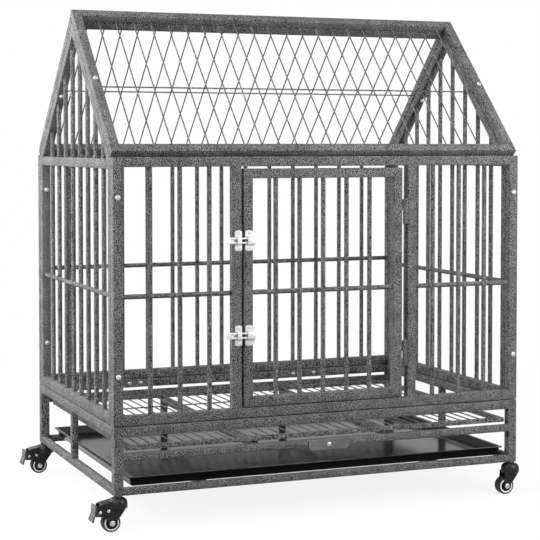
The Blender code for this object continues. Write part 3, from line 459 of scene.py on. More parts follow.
FLECK_RANGE = (0.42, 0.58)
COAT_PATCH_RATE = 26.0
COAT_PATCH_RANGE = (0.30, 0.70)
COAT_PATCH_TONES = (0.82, 1.12)
STREAK_RATE = 900.0
RUBBED_RANGE = (0.16, 0.34)
DULL_TONE = 0.55


def coat_group() -> bpy.types.NodeTree:
    """The group that speckles a powder coat.

    Fine noise over the grain size gives the bright and dark flecks, cell distance gives the hammered
    dimples, and slow noise lets patches run lighter or darker.

    Returns:
        The group's tree.
    """
    board = new_group(
        "Hammered coat",
        {"Vector": ("NodeSocketVector", None), "Grain": ("NodeSocketFloat", 0.002),
         "Dark": ("NodeSocketColor", None), "Light": ("NodeSocketColor", None)},
        {"Color": "NodeSocketColor", "Height": "NodeSocketFloat", "Mask": "NodeSocketFloat"})
    given = board.add("NodeGroupInput").outputs
    rate = board.add("Math", {0: 1.0, 1: given["Grain"]}, operation="DIVIDE").outputs[0]
    flecks = board.add("TexNoise", {"Vector": given["Vector"], "Scale": rate, "Detail": 1.0,
                                    "Roughness": 0.50}).outputs["Fac"]
    slow = board.add("TexNoise", {"Vector": given["Vector"], "Scale": COAT_PATCH_RATE,
                                  "Detail": 2.0}).outputs["Fac"]
    cells = board.add("TexVoronoi", {"Vector": given["Vector"], "Scale": rate}).outputs["Distance"]
    mask = board.remap(flecks, *FLECK_RANGE, 0.0, 1.0)
    patch = board.remap(slow, *COAT_PATCH_RANGE, *COAT_PATCH_TONES)
    colour = board.blend(mask, given["Dark"], given["Light"])
    toned = board.add("VectorMath", {0: colour, "Scale": patch}, operation="SCALE").outputs[0]
    dimple = board.add("Math", {0: mask, 1: cells}, operation="ADD").outputs[0]
    board.add("NodeGroupOutput", {"Color": toned, "Height": dimple, "Mask": mask})
    return board.tree


def handling_group() -> bpy.types.NodeTree:
    """The group that makes a finish look handled.

    Uneven noise over the patch size darkens the colour a little and marks where it is duller, and fine
    streak noise adds rubbed lines.

    Returns:
        The group's tree.
    """
    board = new_group(
        "Handled surface",
        {"Vector": ("NodeSocketVector", None), "Color": ("NodeSocketColor", None),
         "Patch": ("NodeSocketFloat", 0.03), "Amount": ("NodeSocketFloat", 0.2)},
        {"Color": "NodeSocketColor", "Mask": "NodeSocketFloat"})
    given = board.add("NodeGroupInput").outputs
    rate = board.add("Math", {0: 1.0, 1: given["Patch"]}, operation="DIVIDE").outputs[0]
    cloud = board.add("TexNoise", {"Vector": given["Vector"], "Scale": rate, "Detail": 5.0,
                                   "Roughness": 0.62, "Distortion": 0.4}).outputs["Fac"]
    fine = board.add("TexNoise", {"Vector": given["Vector"], "Scale": STREAK_RATE,
                                  "Detail": 1.0}).outputs["Fac"]
    rubbed = board.add("Math", {0: cloud, 1: fine}, operation="MULTIPLY").outputs[0]
    mask = board.remap(rubbed, *RUBBED_RANGE, 0.0, 1.0)
    share = board.add("Math", {0: mask, 1: given["Amount"]}, operation="MULTIPLY").outputs[0]
    dull = board.add("VectorMath", {0: given["Color"], "Scale": DULL_TONE}, operation="SCALE").outputs[0]
    board.add("NodeGroupOutput", {"Color": board.blend(share, given["Color"], dull), "Mask": mask})
    return board.tree


COAT = coat_group()
HANDLING = handling_group()


@dataclass(frozen=True)
class Finish:
    """A finish with a plain colour, made uneven as handled surfaces are.

    Attributes:
        title: The material's name.
        slot: A material slot name, or nothing for trim that has none; not used.
        colour: The colour, linear.
        roughness: The least and the greatest roughness.
        metallic: How metallic it is.
        patch: The size of its uneven patches, in metres.
        amount: How much the patches darken it.
        relief: The height of its surface grain, in metres.
        grain: The size of that grain, in metres.
        specular: The shader's specular level.
    """

    title: str
    slot: str | None
    colour: tuple[float, float, float]
    roughness: Pair
    metallic: float = 0.0
    patch: float = 0.02
    amount: float = 0.2
    relief: float = 0.00002
    grain: float = 0.0012
    specular: float = 0.5

    def surface(self, board: Board, place: bpy.types.NodeSocket) -> tuple[object, object]:
        """The finish's colour before handling, and its height.

        Args:
            board: The material's board.
            place: The coordinate that patterns are laid out on.

        Returns:
            The colour, or its socket, and the height's socket.
        """
        noise = board.add("TexNoise", {"Vector": place, "Scale": 1 / self.grain, "Detail": 2.0})
        return (*self.colour, 1.0), noise.outputs["Fac"]

    def material(self) -> bpy.types.Material:
        """The finish's material, made on its first use."""
        ready = bpy.data.materials.get(self.title)
        if ready is not None:
            return ready
        made = bpy.data.materials.new(self.title)
        made.use_nodes = True
        made.node_tree.nodes.clear()
        board = Board(made.node_tree)
        place = board.add("TexCoord").outputs["Object"]
        colour, height = self.surface(board, place)
        handled = board.add("Group", node_tree=HANDLING)
        handled.inputs["Patch"].default_value = self.patch
        handled.inputs["Amount"].default_value = self.amount
        made.node_tree.links.new(place, handled.inputs["Vector"])
        if isinstance(colour, bpy.types.NodeSocket):
            made.node_tree.links.new(colour, handled.inputs["Color"])
        else:
            handled.inputs["Color"].default_value = colour
        rough = board.remap(handled.outputs["Mask"], 0.0, 1.0, *self.roughness)
        bump = board.add("Bump", {"Height": height, "Distance": self.relief, "Strength": 1.0})
        shader = board.add("BsdfPrincipled", {
            "Base Color": handled.outputs["Color"], "Roughness": rough, "Metallic": self.metallic,
            "Specular IOR Level": self.specular, "Normal": bump.outputs[0]})
        board.add("OutputMaterial", {"Surface": shader.outputs[0]})
        return made


@dataclass(frozen=True)
class HammeredCoat(Finish):
    """A powder coat with bright and dark flecks and hammered dimples.

    Attributes:
        light: The bright flecks' colour, linear; the finish's own colour is the dark ones'.
    """

    light: tuple[float, float, float] = (0.20, 0.20, 0.205)

    def surface(self, board: Board, place: bpy.types.NodeSocket) -> tuple[object, object]:
        """The speckled colour and the dimples' height."""
        coat = board.add("Group", node_tree=COAT)
        coat.inputs["Grain"].default_value = self.grain
        coat.inputs["Dark"].default_value = (*self.colour, 1.0)
        coat.inputs["Light"].default_value = (*self.light, 1.0)
        board.tree.links.new(place, coat.inputs["Vector"])
        return coat.outputs["Color"], coat.outputs["Height"]


POWDER_COAT = HammeredCoat("hammered grey powder coat", "hammertone", (0.010, 0.010, 0.011), (0.50, 0.64),
                           amount=0.08, relief=0.00018, grain=0.0019, specular=0.03,
                           light=(0.205, 0.205, 0.210))
FLAT_COAT = HammeredCoat("smooth grey powder coat", "hammertone", (0.070, 0.070, 0.072), (0.42, 0.55),
                         amount=0.08, relief=0.00010, grain=0.0018, specular=0.16,
                         light=(0.170, 0.170, 0.175))
ZINC = Finish("bright zinc plate", "zinc", (0.56, 0.56, 0.545), (0.34, 0.50), metallic=0.30, patch=0.004,
              amount=0.38, relief=0.00004, specular=0.40)
STEEL = Finish("plated fastener steel", "steel", (0.46, 0.46, 0.47), (0.26, 0.42), metallic=0.80,
               patch=0.003, amount=0.45, relief=0.00003)
DARK_STEEL = Finish("oiled dark steel", "steel", (0.045, 0.045, 0.047), (0.32, 0.46), metallic=0.60,
                    patch=0.004, amount=0.30, relief=0.00003, specular=0.30)
CASTER_BLACK = Finish("satin black moulding", "caster_black", (0.012, 0.012, 0.013), (0.30, 0.44),
                      amount=0.25, relief=0.00003, grain=0.0006, specular=0.16)
TYRE_BLACK = Finish("matt black tread", "tyre_black", (0.014, 0.014, 0.015), (0.55, 0.72), amount=0.30,
                    relief=0.00005, grain=0.0008, specular=0.35)
TRAY_BLACK = Finish("glossy black tray", "tray_black", (0.007, 0.007, 0.008), (0.11, 0.17), patch=0.06,
                    amount=0.10, relief=0.00001, grain=0.030, specular=0.075)
PEDAL_GREY = Finish("ribbed grey pedal", "pedal_grey", (0.050, 0.050, 0.054), (0.42, 0.55), amount=0.25,
                    relief=0.00004, grain=0.0008)
RING_WHITE = Finish("white wheel ring", None, (0.78, 0.78, 0.77), (0.30, 0.42), patch=0.01, amount=0.10)


def settle(form: Form, name: str, finish: Finish, body: str, nodes: Sequence[str] = (),
           crease: float = 35.0) -> None:
    """Make a piece of a form, dress it and let it ride on its body.

    Args:
        form: The piece's surfaces.
        name: The piece's name.
        finish: Its finish.
        body: The body that carries it.
        nodes: The plain nodes that it stands for.
        crease: The angle in degrees past which an edge stays sharp.
    """
    piece = bpy.data.objects.new(name, form.mesh(name, crease))
    bpy.context.scene.collection.objects.link(piece)
    piece.data.materials.append(finish.material())
    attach(piece, body)
    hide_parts(*nodes)
    log.info("%s rides on %s: %d faces", name, body, len(piece.data.polygons))


@dataclass
class Layout:
    """The cage's main places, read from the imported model's own boxes."""

    tube: float = 0.020
    small_tube: float = 0.015
    rounding: float = 0.0025
    bar_radius: float = 0.0050
    wire_radius: float = 0.0015
    seam: float = 0.0003

    def __post_init__(self) -> None:
        """Read the boxes."""
        low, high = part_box("back_panel")
        self.middle = float(node_centre("back_panel")[0])
        self.half_width = (high.x - low.x) / 2
        self.half_depth = high.y
        self.wall_low = low.z
        self.wall_high = high.z
        self.inner_x = self.half_width - self.tube
        self.inner_y = self.half_depth - self.tube
        base_low, base_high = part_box("base_frame")
        self.base_low = base_low.z
        self.base_high = base_high.z

    def x(self, offset: float) -> float:
        """A place to the right of the cage's middle."""
        return self.middle + offset

    def section(self, size: float) -> Array:
        """The rounded section of a square tube."""
        return round_outline(size, size, self.rounding, 3)

    def tube_frame(self, form: Form, corners: Array, origin: Triple, axes: Sequence[Triple]) -> None:
        """Add a mitred frame of the main tube round corners, laid out from an origin on three axes."""
        form.mitred(corners, self.tube, self.tube, self.rounding, origin, axes)


@dataclass
class Base:
    """The stand: posts and three levels of rails, with supports for the grate and runners for the tray."""

    plan: Layout
    mid_rail_rise: float = 0.068
    rear_rail_rise: float = 0.094
    mid_post_y: float = 0.020
    support_x: float = 0.155
    support_rise: float = 0.006
    runner_x: float = 0.266
    reveal: float = 0.0013

    def build(self) -> None:
        """Weld up the stand from posts, rails, supports and runners."""
        plan = self.plan
        form = Form()
        low, high = plan.base_low, plan.base_high - self.reveal
        half = plan.tube / 2
        small = plan.small_tube / 2
        tube = plan.section(plan.tube)
        rail = plan.section(plan.small_tube)
        post_x, post_y = plan.half_width - half, plan.half_depth - half
        rail_x, rail_y = plan.half_width - small, plan.half_depth - small
        reach_x, reach_y = plan.inner_x + BURIED, plan.inner_y + BURIED
        mid = low + self.mid_rail_rise + small
        rear = low + self.rear_rail_rise + small
        inner = plan.half_depth - plan.small_tube + BURIED
        for side in Side:
            for end in End:
                x, y = plan.x(side.value * post_x), end.value * post_y
                form.stick((x, y, low), (x, y, high), tube, RIGHT, bevel=0.0008)
        for end in End:
            y = end.value
            left, right = plan.x(-reach_x), plan.x(reach_x)
            form.stick((left, y * post_y, high - half), (right, y * post_y, high - half), tube)
            for z in (mid if end is End.FRONT else rear, low + small):
                form.stick((left, y * rail_y, z), (right, y * rail_y, z), rail)
        for side in Side:
            x = plan.x(side.value * post_x)
            form.stick((x, -reach_y, high - half), (x, reach_y, high - half), tube)
            x = plan.x(side.value * rail_x)
            form.stick((x, -reach_y, low + small), (x, reach_y, low + small), rail)
            form.stick((x, self.mid_post_y, low + plan.small_tube - BURIED),
                       (x, self.mid_post_y, high - plan.tube + BURIED), rail, RIGHT)
            support = plan.x(side.value * self.support_x)
            z = mid + self.support_rise
            form.stick((support, -inner, z), (support, inner, z), rail)
            form.stick((support, rail_y, low + plan.small_tube - BURIED),
                       (support, rail_y, rear - small + BURIED), rail, RIGHT)
            runner = plan.x(side.value * self.runner_x)
            form.stick((runner, -inner, low + small), (runner, inner, low + small), rail)
        settle(form, "stand", POWDER_COAT, "cage", ["base_frame"])


@dataclass
class Hinges:
    """The two lift-off hinges between the door and its post."""

    plan: Layout
    radius: float = 0.0055
    bore: float = 0.0034
    pin_radius: float = 0.0029
    length: float = 0.027
    wall: float = 0.0045
    gap: float = 0.0004

    def __post_init__(self) -> None:
        """Find the hinges' axis and the splits between their knuckles."""
        self.places = {}
        for level in Level:
            self.places[level] = tuple(node_centre(f"hinge_pin_{level.name.lower()}").tolist())

    def knuckles(self, form: Form, side: int, edge: float) -> None:
        """Add one knuckle of each hinge, with the weld that holds it.

        The profile runs up the outside, over the rounded rim, and down the bore to its floor.

        Args:
            form: The wall's or the door's surfaces.
            side: Plus one for the post's lower knuckles, minus one for the door's upper ones.
            edge: The x of the upright face that the weld meets.
        """
        for x, y, split in self.places.values():
            profile = [(self.radius - 0.0008, self.length), (self.radius, self.length - 0.0008),
                       (self.radius, self.gap / 2 + 0.0004), (self.radius - 0.0004, self.gap / 2),
                       (self.bore, self.gap / 2), (self.bore, self.length - self.wall)]
            form.turned(profile, (x, y, split), UP * -side, 28)
            ends = split - side * (self.length - 0.002), split - side * 0.002
            bead = round_outline(abs(edge - x) + BURIED, 0.0050, 0.0016, 3)
            centre = (edge + side * BURIED + x) / 2
            start, stop = (centre, y + 0.0032, ends[0]), (centre, y + 0.0032, ends[1])
            form.stick(start, stop, bead, RIGHT, bevel=0.0012)

    def build(self) -> None:
        """Make the two loose pins."""
        for level, (x, y, split) in self.places.items():
            form = Form()
            reach = self.length - self.wall - self.plan.seam
            tip = self.pin_radius - 0.0006
            form.turned([(tip, -reach), (self.pin_radius, 0.0006 - reach), (self.pin_radius, reach - 0.0006),
                         (tip, reach)], (x, y, split), UP, 20)
            name = f"hinge_pin_{level.name.lower()}"
            settle(form, f"{name}_turned", STEEL, "cage", [name])


@dataclass
class Walls:
    """The four wall panels: tube frames with round bars, the two side ones with their gables."""

    plan: Layout
    hinges: Hinges
    bar_pitch: float = 0.063
    front_spread: float = 0.003
    back_shift: float = -0.007
    side_pitch: float = 0.060
    side_count: int = 8
    doorway: Pair = (-0.188, 0.191)
    mid_share: float = 0.480
    back_mid_share: float = 0.505

    def __post_init__(self) -> None:
        """Work out the heights that the panels share."""
        plan = self.plan
        self.low = plan.wall_low + plan.tube
        self.high = plan.wall_high - plan.tube
        height = plan.wall_high - plan.wall_low
        self.mid_z = plan.wall_low + height * self.mid_share
        self.back_mid_z = plan.wall_low + height * self.back_mid_share

    def frame(self, form: Form, front_y: float) -> None:
        """Add a wall's mitred outer frame, from its front face back."""
        plan = self.plan
        corners = rectangle(-plan.half_width, plan.half_width, plan.wall_low, plan.wall_high)
        plan.tube_frame(form, corners, (plan.middle, front_y, 0.0), (RIGHT, UP, BACK))

    def uprights(self, form: Form, places: Sequence[float], y: float, low: float, high: float) -> None:
        """Add round upright bars at places along X."""
        for place in places:
            x = self.plan.x(place)
            form.bar((x, y, low - BURIED), (x, y, high + BURIED), self.plan.bar_radius)

    def build_front(self) -> None:
        """Make the front wall, with the door's two posts and the hinges' lower knuckles."""
        plan = self.plan
        form = Form()
        self.frame(form, -plan.half_depth)
        y = plan.tube / 2 - plan.half_depth
        left, right = self.doorway
        count = int((plan.inner_x - plan.bar_radius) / self.bar_pitch)
        for sign, edge in ((-1, left), (1, right)):
            post = plan.x(edge + sign * plan.tube / 2)
            ends = (post, y, self.low - BURIED), (post, y, self.high + BURIED)
            form.stick(*ends, plan.section(plan.tube), RIGHT)
            places = [sign * (self.bar_pitch * step + self.front_spread) for step in range(1, count + 1)]
            clear = abs(edge) + plan.tube + 2 * plan.bar_radius
            places = [place for place in places if abs(place) > clear]
            self.uprights(form, places, y, self.low, self.high)
            ends = sign * (plan.inner_x + BURIED), edge + sign * (plan.tube - BURIED)
            form.bar((plan.x(ends[0]), y, self.mid_z), (plan.x(ends[1]), y, self.mid_z), plan.bar_radius)
        self.hinges.knuckles(form, 1, plan.x(right))
        settle(form, "wall_front", POWDER_COAT, "cage", ["front_panel"])

    def build_back(self) -> None:
        """Make the rear wall with its even bars."""
        plan = self.plan
        form = Form()
        self.frame(form, plan.inner_y)
        y = plan.half_depth - plan.tube / 2
        count = int((plan.inner_x - 2 * plan.bar_radius) / self.bar_pitch)
        places = [self.bar_pitch * step + self.back_shift for step in range(-count, count + 1)]
        self.uprights(form, places, y, self.low, self.high)
        reach = plan.inner_x + BURIED
        form.bar((plan.x(-reach), y, self.back_mid_z), (plan.x(reach), y, self.back_mid_z), plan.bar_radius)
        settle(form, "wall_rear", POWDER_COAT, "cage", ["back_panel"])

    def build_side(self, side: Side) -> None:
        """Make a side wall with its gable: the house outline, the tie rail, and bars up to the rafters."""
        plan = self.plan
        node = f"side_panel_{side.name.lower()}"
        low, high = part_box(node)
        half = high.y
        ridge = high.z
        eave = self.eave(node)
        slope = self.slope(node)
        rafter = plan.tube * math.hypot(1.0, slope)
        form = Form()
        house = np.array([(-half, low.z), (half, low.z), (half, eave), (0.0, ridge), (-half, eave)])
        plan.tube_frame(form, house, (low.x, 0.0, 0.0), (BACK, UP, RIGHT))
        x = node_centre(node)[0]
        reach = half - plan.tube + BURIED
        tie = eave - plan.tube / 2
        form.stick((x, -reach, tie), (x, reach, tie), plan.section(plan.tube))
        for step in range(self.side_count):
            y = (step - (self.side_count - 1) / 2) * self.side_pitch
            top = ridge - rafter - abs(y) * slope
            form.bar((x, y, self.low - BURIED), (x, y, eave - plan.tube + BURIED), plan.bar_radius)
            form.bar((x, y, eave - BURIED), (x, y, top + plan.bar_radius), plan.bar_radius)
        form.bar((x, -reach, self.mid_z), (x, reach, self.mid_z), plan.bar_radius)
        settle(form, f"wall_{side.name.lower()}", POWDER_COAT, "cage", [node])

    def eave(self, node: str) -> float:
        """The height of a side panel's eave, its highest point in its two end faces' planes."""
        points = node_points(node)
        outer = points[points[:, 1] > points[:, 1].max() - FACE_MARGIN]
        return float(outer[:, 2].max())

    def slope(self, node: str) -> float:
        """A side panel's rise for one metre of depth, from its eave to its ridge."""
        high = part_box(node)[1]
        return (high.z - self.eave(node)) / high.y

    def build(self) -> None:
        """Make all four walls."""
        self.build_front()
        self.build_back()
        for side in Side:
            self.build_side(side)


@dataclass
class Door:
    """The door: a mitred frame with five bars, a mid bar and the hinges' upper knuckles."""

    plan: Layout
    hinges: Hinges
    mid_z: float
    post_edge: float
    bar_count: int = 5

    def build(self) -> None:
        """Make the door."""
        plan = self.plan
        low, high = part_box("door")
        pin_x = self.hinges.places[Level.LOWER][0]
        left = low.x
        right = 2 * pin_x - plan.x(self.post_edge)
        form = Form()
        origin = (0.0, -plan.half_depth, 0.0)
        plan.tube_frame(form, rectangle(left, right, low.z, high.z), origin, (RIGHT, UP, BACK))
        inner_left, inner_right = left + plan.tube, right - plan.tube
        pitch = (inner_right - inner_left) / (self.bar_count + 1)
        y = plan.tube / 2 - plan.half_depth
        for step in range(1, self.bar_count + 1):
            x = inner_left + pitch * step
            form.bar((x, y, low.z + plan.tube - BURIED), (x, y, high.z - plan.tube + BURIED), plan.bar_radius)
        form.bar((inner_left - BURIED, y, self.mid_z), (inner_right + BURIED, y, self.mid_z), plan.bar_radius)
        self.hinges.knuckles(form, -1, right)
        settle(form, "door_leaf", POWDER_COAT, "door", ["door"])


@dataclass
class Roof:
    """The two roof slopes: tube frames with fine wires down the slope and one across."""

    plan: Layout
    wire_pitch: float = 0.0392
    wire_offset: float = 0.010
    wire_depth: float = 0.0055
    cross_drop: float = 0.0033

    def build_slope(self, end: End, slope: float) -> None:
        """Make one slope.

        A slope's own axes run down it and out of the roof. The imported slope's points, laid out on
        them, give where its frame begins, where it ends and how far its plane lies from the ridge.

        Args:
            end: The front or the rear slope.
            slope: The roof's rise for one metre of depth.
        """
        plan = self.plan
        node = f"roof_panel_{end.name.lower()}"
        points = node_points(node)
        down = unit((0.0, end.value, -slope))
        out = unit((0.0, end.value * slope, 1.0))
        along = points @ down
        height = points @ out
        upper, lower = float(along.min()), float(along.max())
        under = float(height.min())
        origin = np.array((plan.middle, 0.0, 0.0)) + out * under
        form = Form()
        corners = rectangle(-plan.half_width, plan.half_width, upper, lower)
        plan.tube_frame(form, corners, origin, (RIGHT, down, out))
        count = int((plan.inner_x - 2 * plan.wire_radius) / self.wire_pitch)
        start = origin + down * (upper + plan.tube - BURIED) + out * self.wire_depth
        stop = origin + down * (lower - plan.tube + BURIED) + out * self.wire_depth
        for step in range(-count, count + 1):
            offset = end.value * self.wire_offset + self.wire_pitch * step
            if abs(offset) < plan.inner_x - 2 * plan.wire_radius:
                form.bar(start + RIGHT * offset, stop + RIGHT * offset, plan.wire_radius, 8)
        ridge = float(down @ (0.0, 0.0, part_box("side_panel_left")[1].z))
        middle = origin + down * ((ridge + lower) / 2) + out * (self.wire_depth - self.cross_drop)
        reach = RIGHT * (plan.inner_x + BURIED)
        form.bar(middle - reach, middle + reach, plan.wire_radius, 8)
        settle(form, f"roof_{end.name.lower()}", POWDER_COAT, "cage", [node])

    def build(self, slope: float) -> None:
        """Make both slopes."""
        for end in End:
            self.build_slope(end, slope)


@dataclass
class Fasteners:
    """The corner and roof bolts with their nuts, and the round-head screws."""

    head_radius: float = 0.0055
    head_height: float = 0.0035
    socket_radius: float = 0.0020
    shank: float = 0.0029
    nut_radius: float = 0.0055
    nut_height: float = 0.005
    tail: float = 0.002
    socket_rim: float = 0.0004
    socket_depth: float = 0.7
    dome_depth: float = 0.85
    dome_turns: Pair = (65.0, 8.0)
    tip_bevel: float = 0.0005
    nut_bevel: float = 0.0008
    nut_face: float = 0.86
    cross_reach: float = 0.6
    cross_middle: float = 0.2
    cross_depth: float = 0.45
    cross_cosine: float = 0.80

    def bolt(self, name: str, start: Array, direction: Array, length: float) -> None:
        """Make one bolt with its nut.

        The head's profile rises from the socket's floor over a dome and falls to the shank. The nut is
        turned with six sides, drawn in at both ends.

        Args:
            name: The bolt's node.
            start: The middle of the head's outer face.
            direction: From the head to the nut.
            length: From the head's face to the tail's tip.
        """
        form = Form()
        radius, height = self.head_radius, self.head_height
        turns = [math.radians(turn) for turn in self.dome_turns]
        dome = [(radius * math.cos(turn), height * self.dome_depth * (1 - math.sin(turn)))
                for turn in np.linspace(*turns, 6)]
        socket = [(self.socket_radius, height * self.socket_depth), (self.socket_radius, self.socket_rim)]
        profile = [*socket, *dome, (radius, height), (self.shank, height),
                   (self.shank, length - self.tip_bevel), (self.shank - self.tip_bevel, length)]
        form.turned(profile, start, direction, 28)
        nut = length - self.tail - self.nut_height
        face = self.nut_radius * self.nut_face
        form.turned([(face, nut), (self.nut_radius, nut + self.nut_bevel),
                     (self.nut_radius, nut + self.nut_height - self.nut_bevel),
                     (face, nut + self.nut_height)], start, direction, 6)
        settle(form, f"{name}_turned", STEEL, "cage", [name])

    def build_bolts(self, slope: float) -> None:
        """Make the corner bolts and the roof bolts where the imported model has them."""
        for end in End:
            for side in Side:
                for level in Level:
                    name = f"corner_bolt_{end.name.lower()}_{side.name.lower()}_{level.name.lower()}"
                    low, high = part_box(name)
                    x, _, z = node_centre(name)
                    y = low.y if end is End.FRONT else high.y
                    self.bolt(name, np.array((x, y, z)), BACK * -end.value, high.y - low.y)
                name = f"roof_bolt_{end.name.lower()}_{side.name.lower()}"
                inward = -unit((0.0, end.value * slope, 1.0))
                points = node_points(name)
                along = points @ inward
                centre = (points.max(axis=0) + points.min(axis=0)) / 2
                first = points[along < along.min() + HEAD_MARGIN]
                start = (first.max(axis=0) + first.min(axis=0)) / 2
                start[0] = centre[0]
                self.bolt(name, start, inward, float(along.max() - along.min()))

    def screw(self, form: Form, start: Triple, direction: Triple, radius: float, height: float,
              shank: float = 0.0, length: float = 0.0) -> None:
        """Add a round-head screw with a cross cut in its head.

        A head point's radius is the profile's; near the middle its depth falls inside the two slots of
        the cross, whose edges lie half a slot's width from the head's two square axes.

        Args:
            form: The surfaces to add to.
            start: The middle of the head's outer face.
            direction: Into the work.
            radius: The head's radius.
            height: The head's height.
            shank: The shank's radius, or nought for a head alone.
            length: The shank's length.
        """
        run = unit(direction)
        first = unit(np.cross(run, UP if abs(run[2]) < 0.9 else BACK))
        second = np.cross(run, first)
        sides = 32
        ring = circle(1.0, sides, math.pi / sides)
        around = ring[:, :1] * first + ring[:, 1:] * second
        share = np.array((0.05, 0.30, 0.55, 0.62, 0.80, 0.94, 1.0, 1.0))
        rise = height * np.array((0.0, 0.02, 0.10, 0.13, 0.30, 0.60, 0.85, 1.0))
        turn = (np.arange(sides) + 0.5) * 2 * math.pi / sides
        arm = np.abs(np.cos(2 * turn)) > self.cross_cosine
        row = share[:, None]
        slot = (row < self.cross_reach) & (arm[None, :] | (row < self.cross_middle))
        cut = np.where(slot, height * self.cross_depth, 0.0)
        depth = rise[:, None] + cut
        if shank:
            share = np.append(share, (shank / radius, shank / radius))
            tail = np.array((height, height + length))[:, None] * np.ones((1, sides))
            depth = np.concatenate((depth, tail))
        rings = np.asarray(start) + depth[..., None] * run + radius * share[:, None, None] * around[None]
        form.loft(rings)


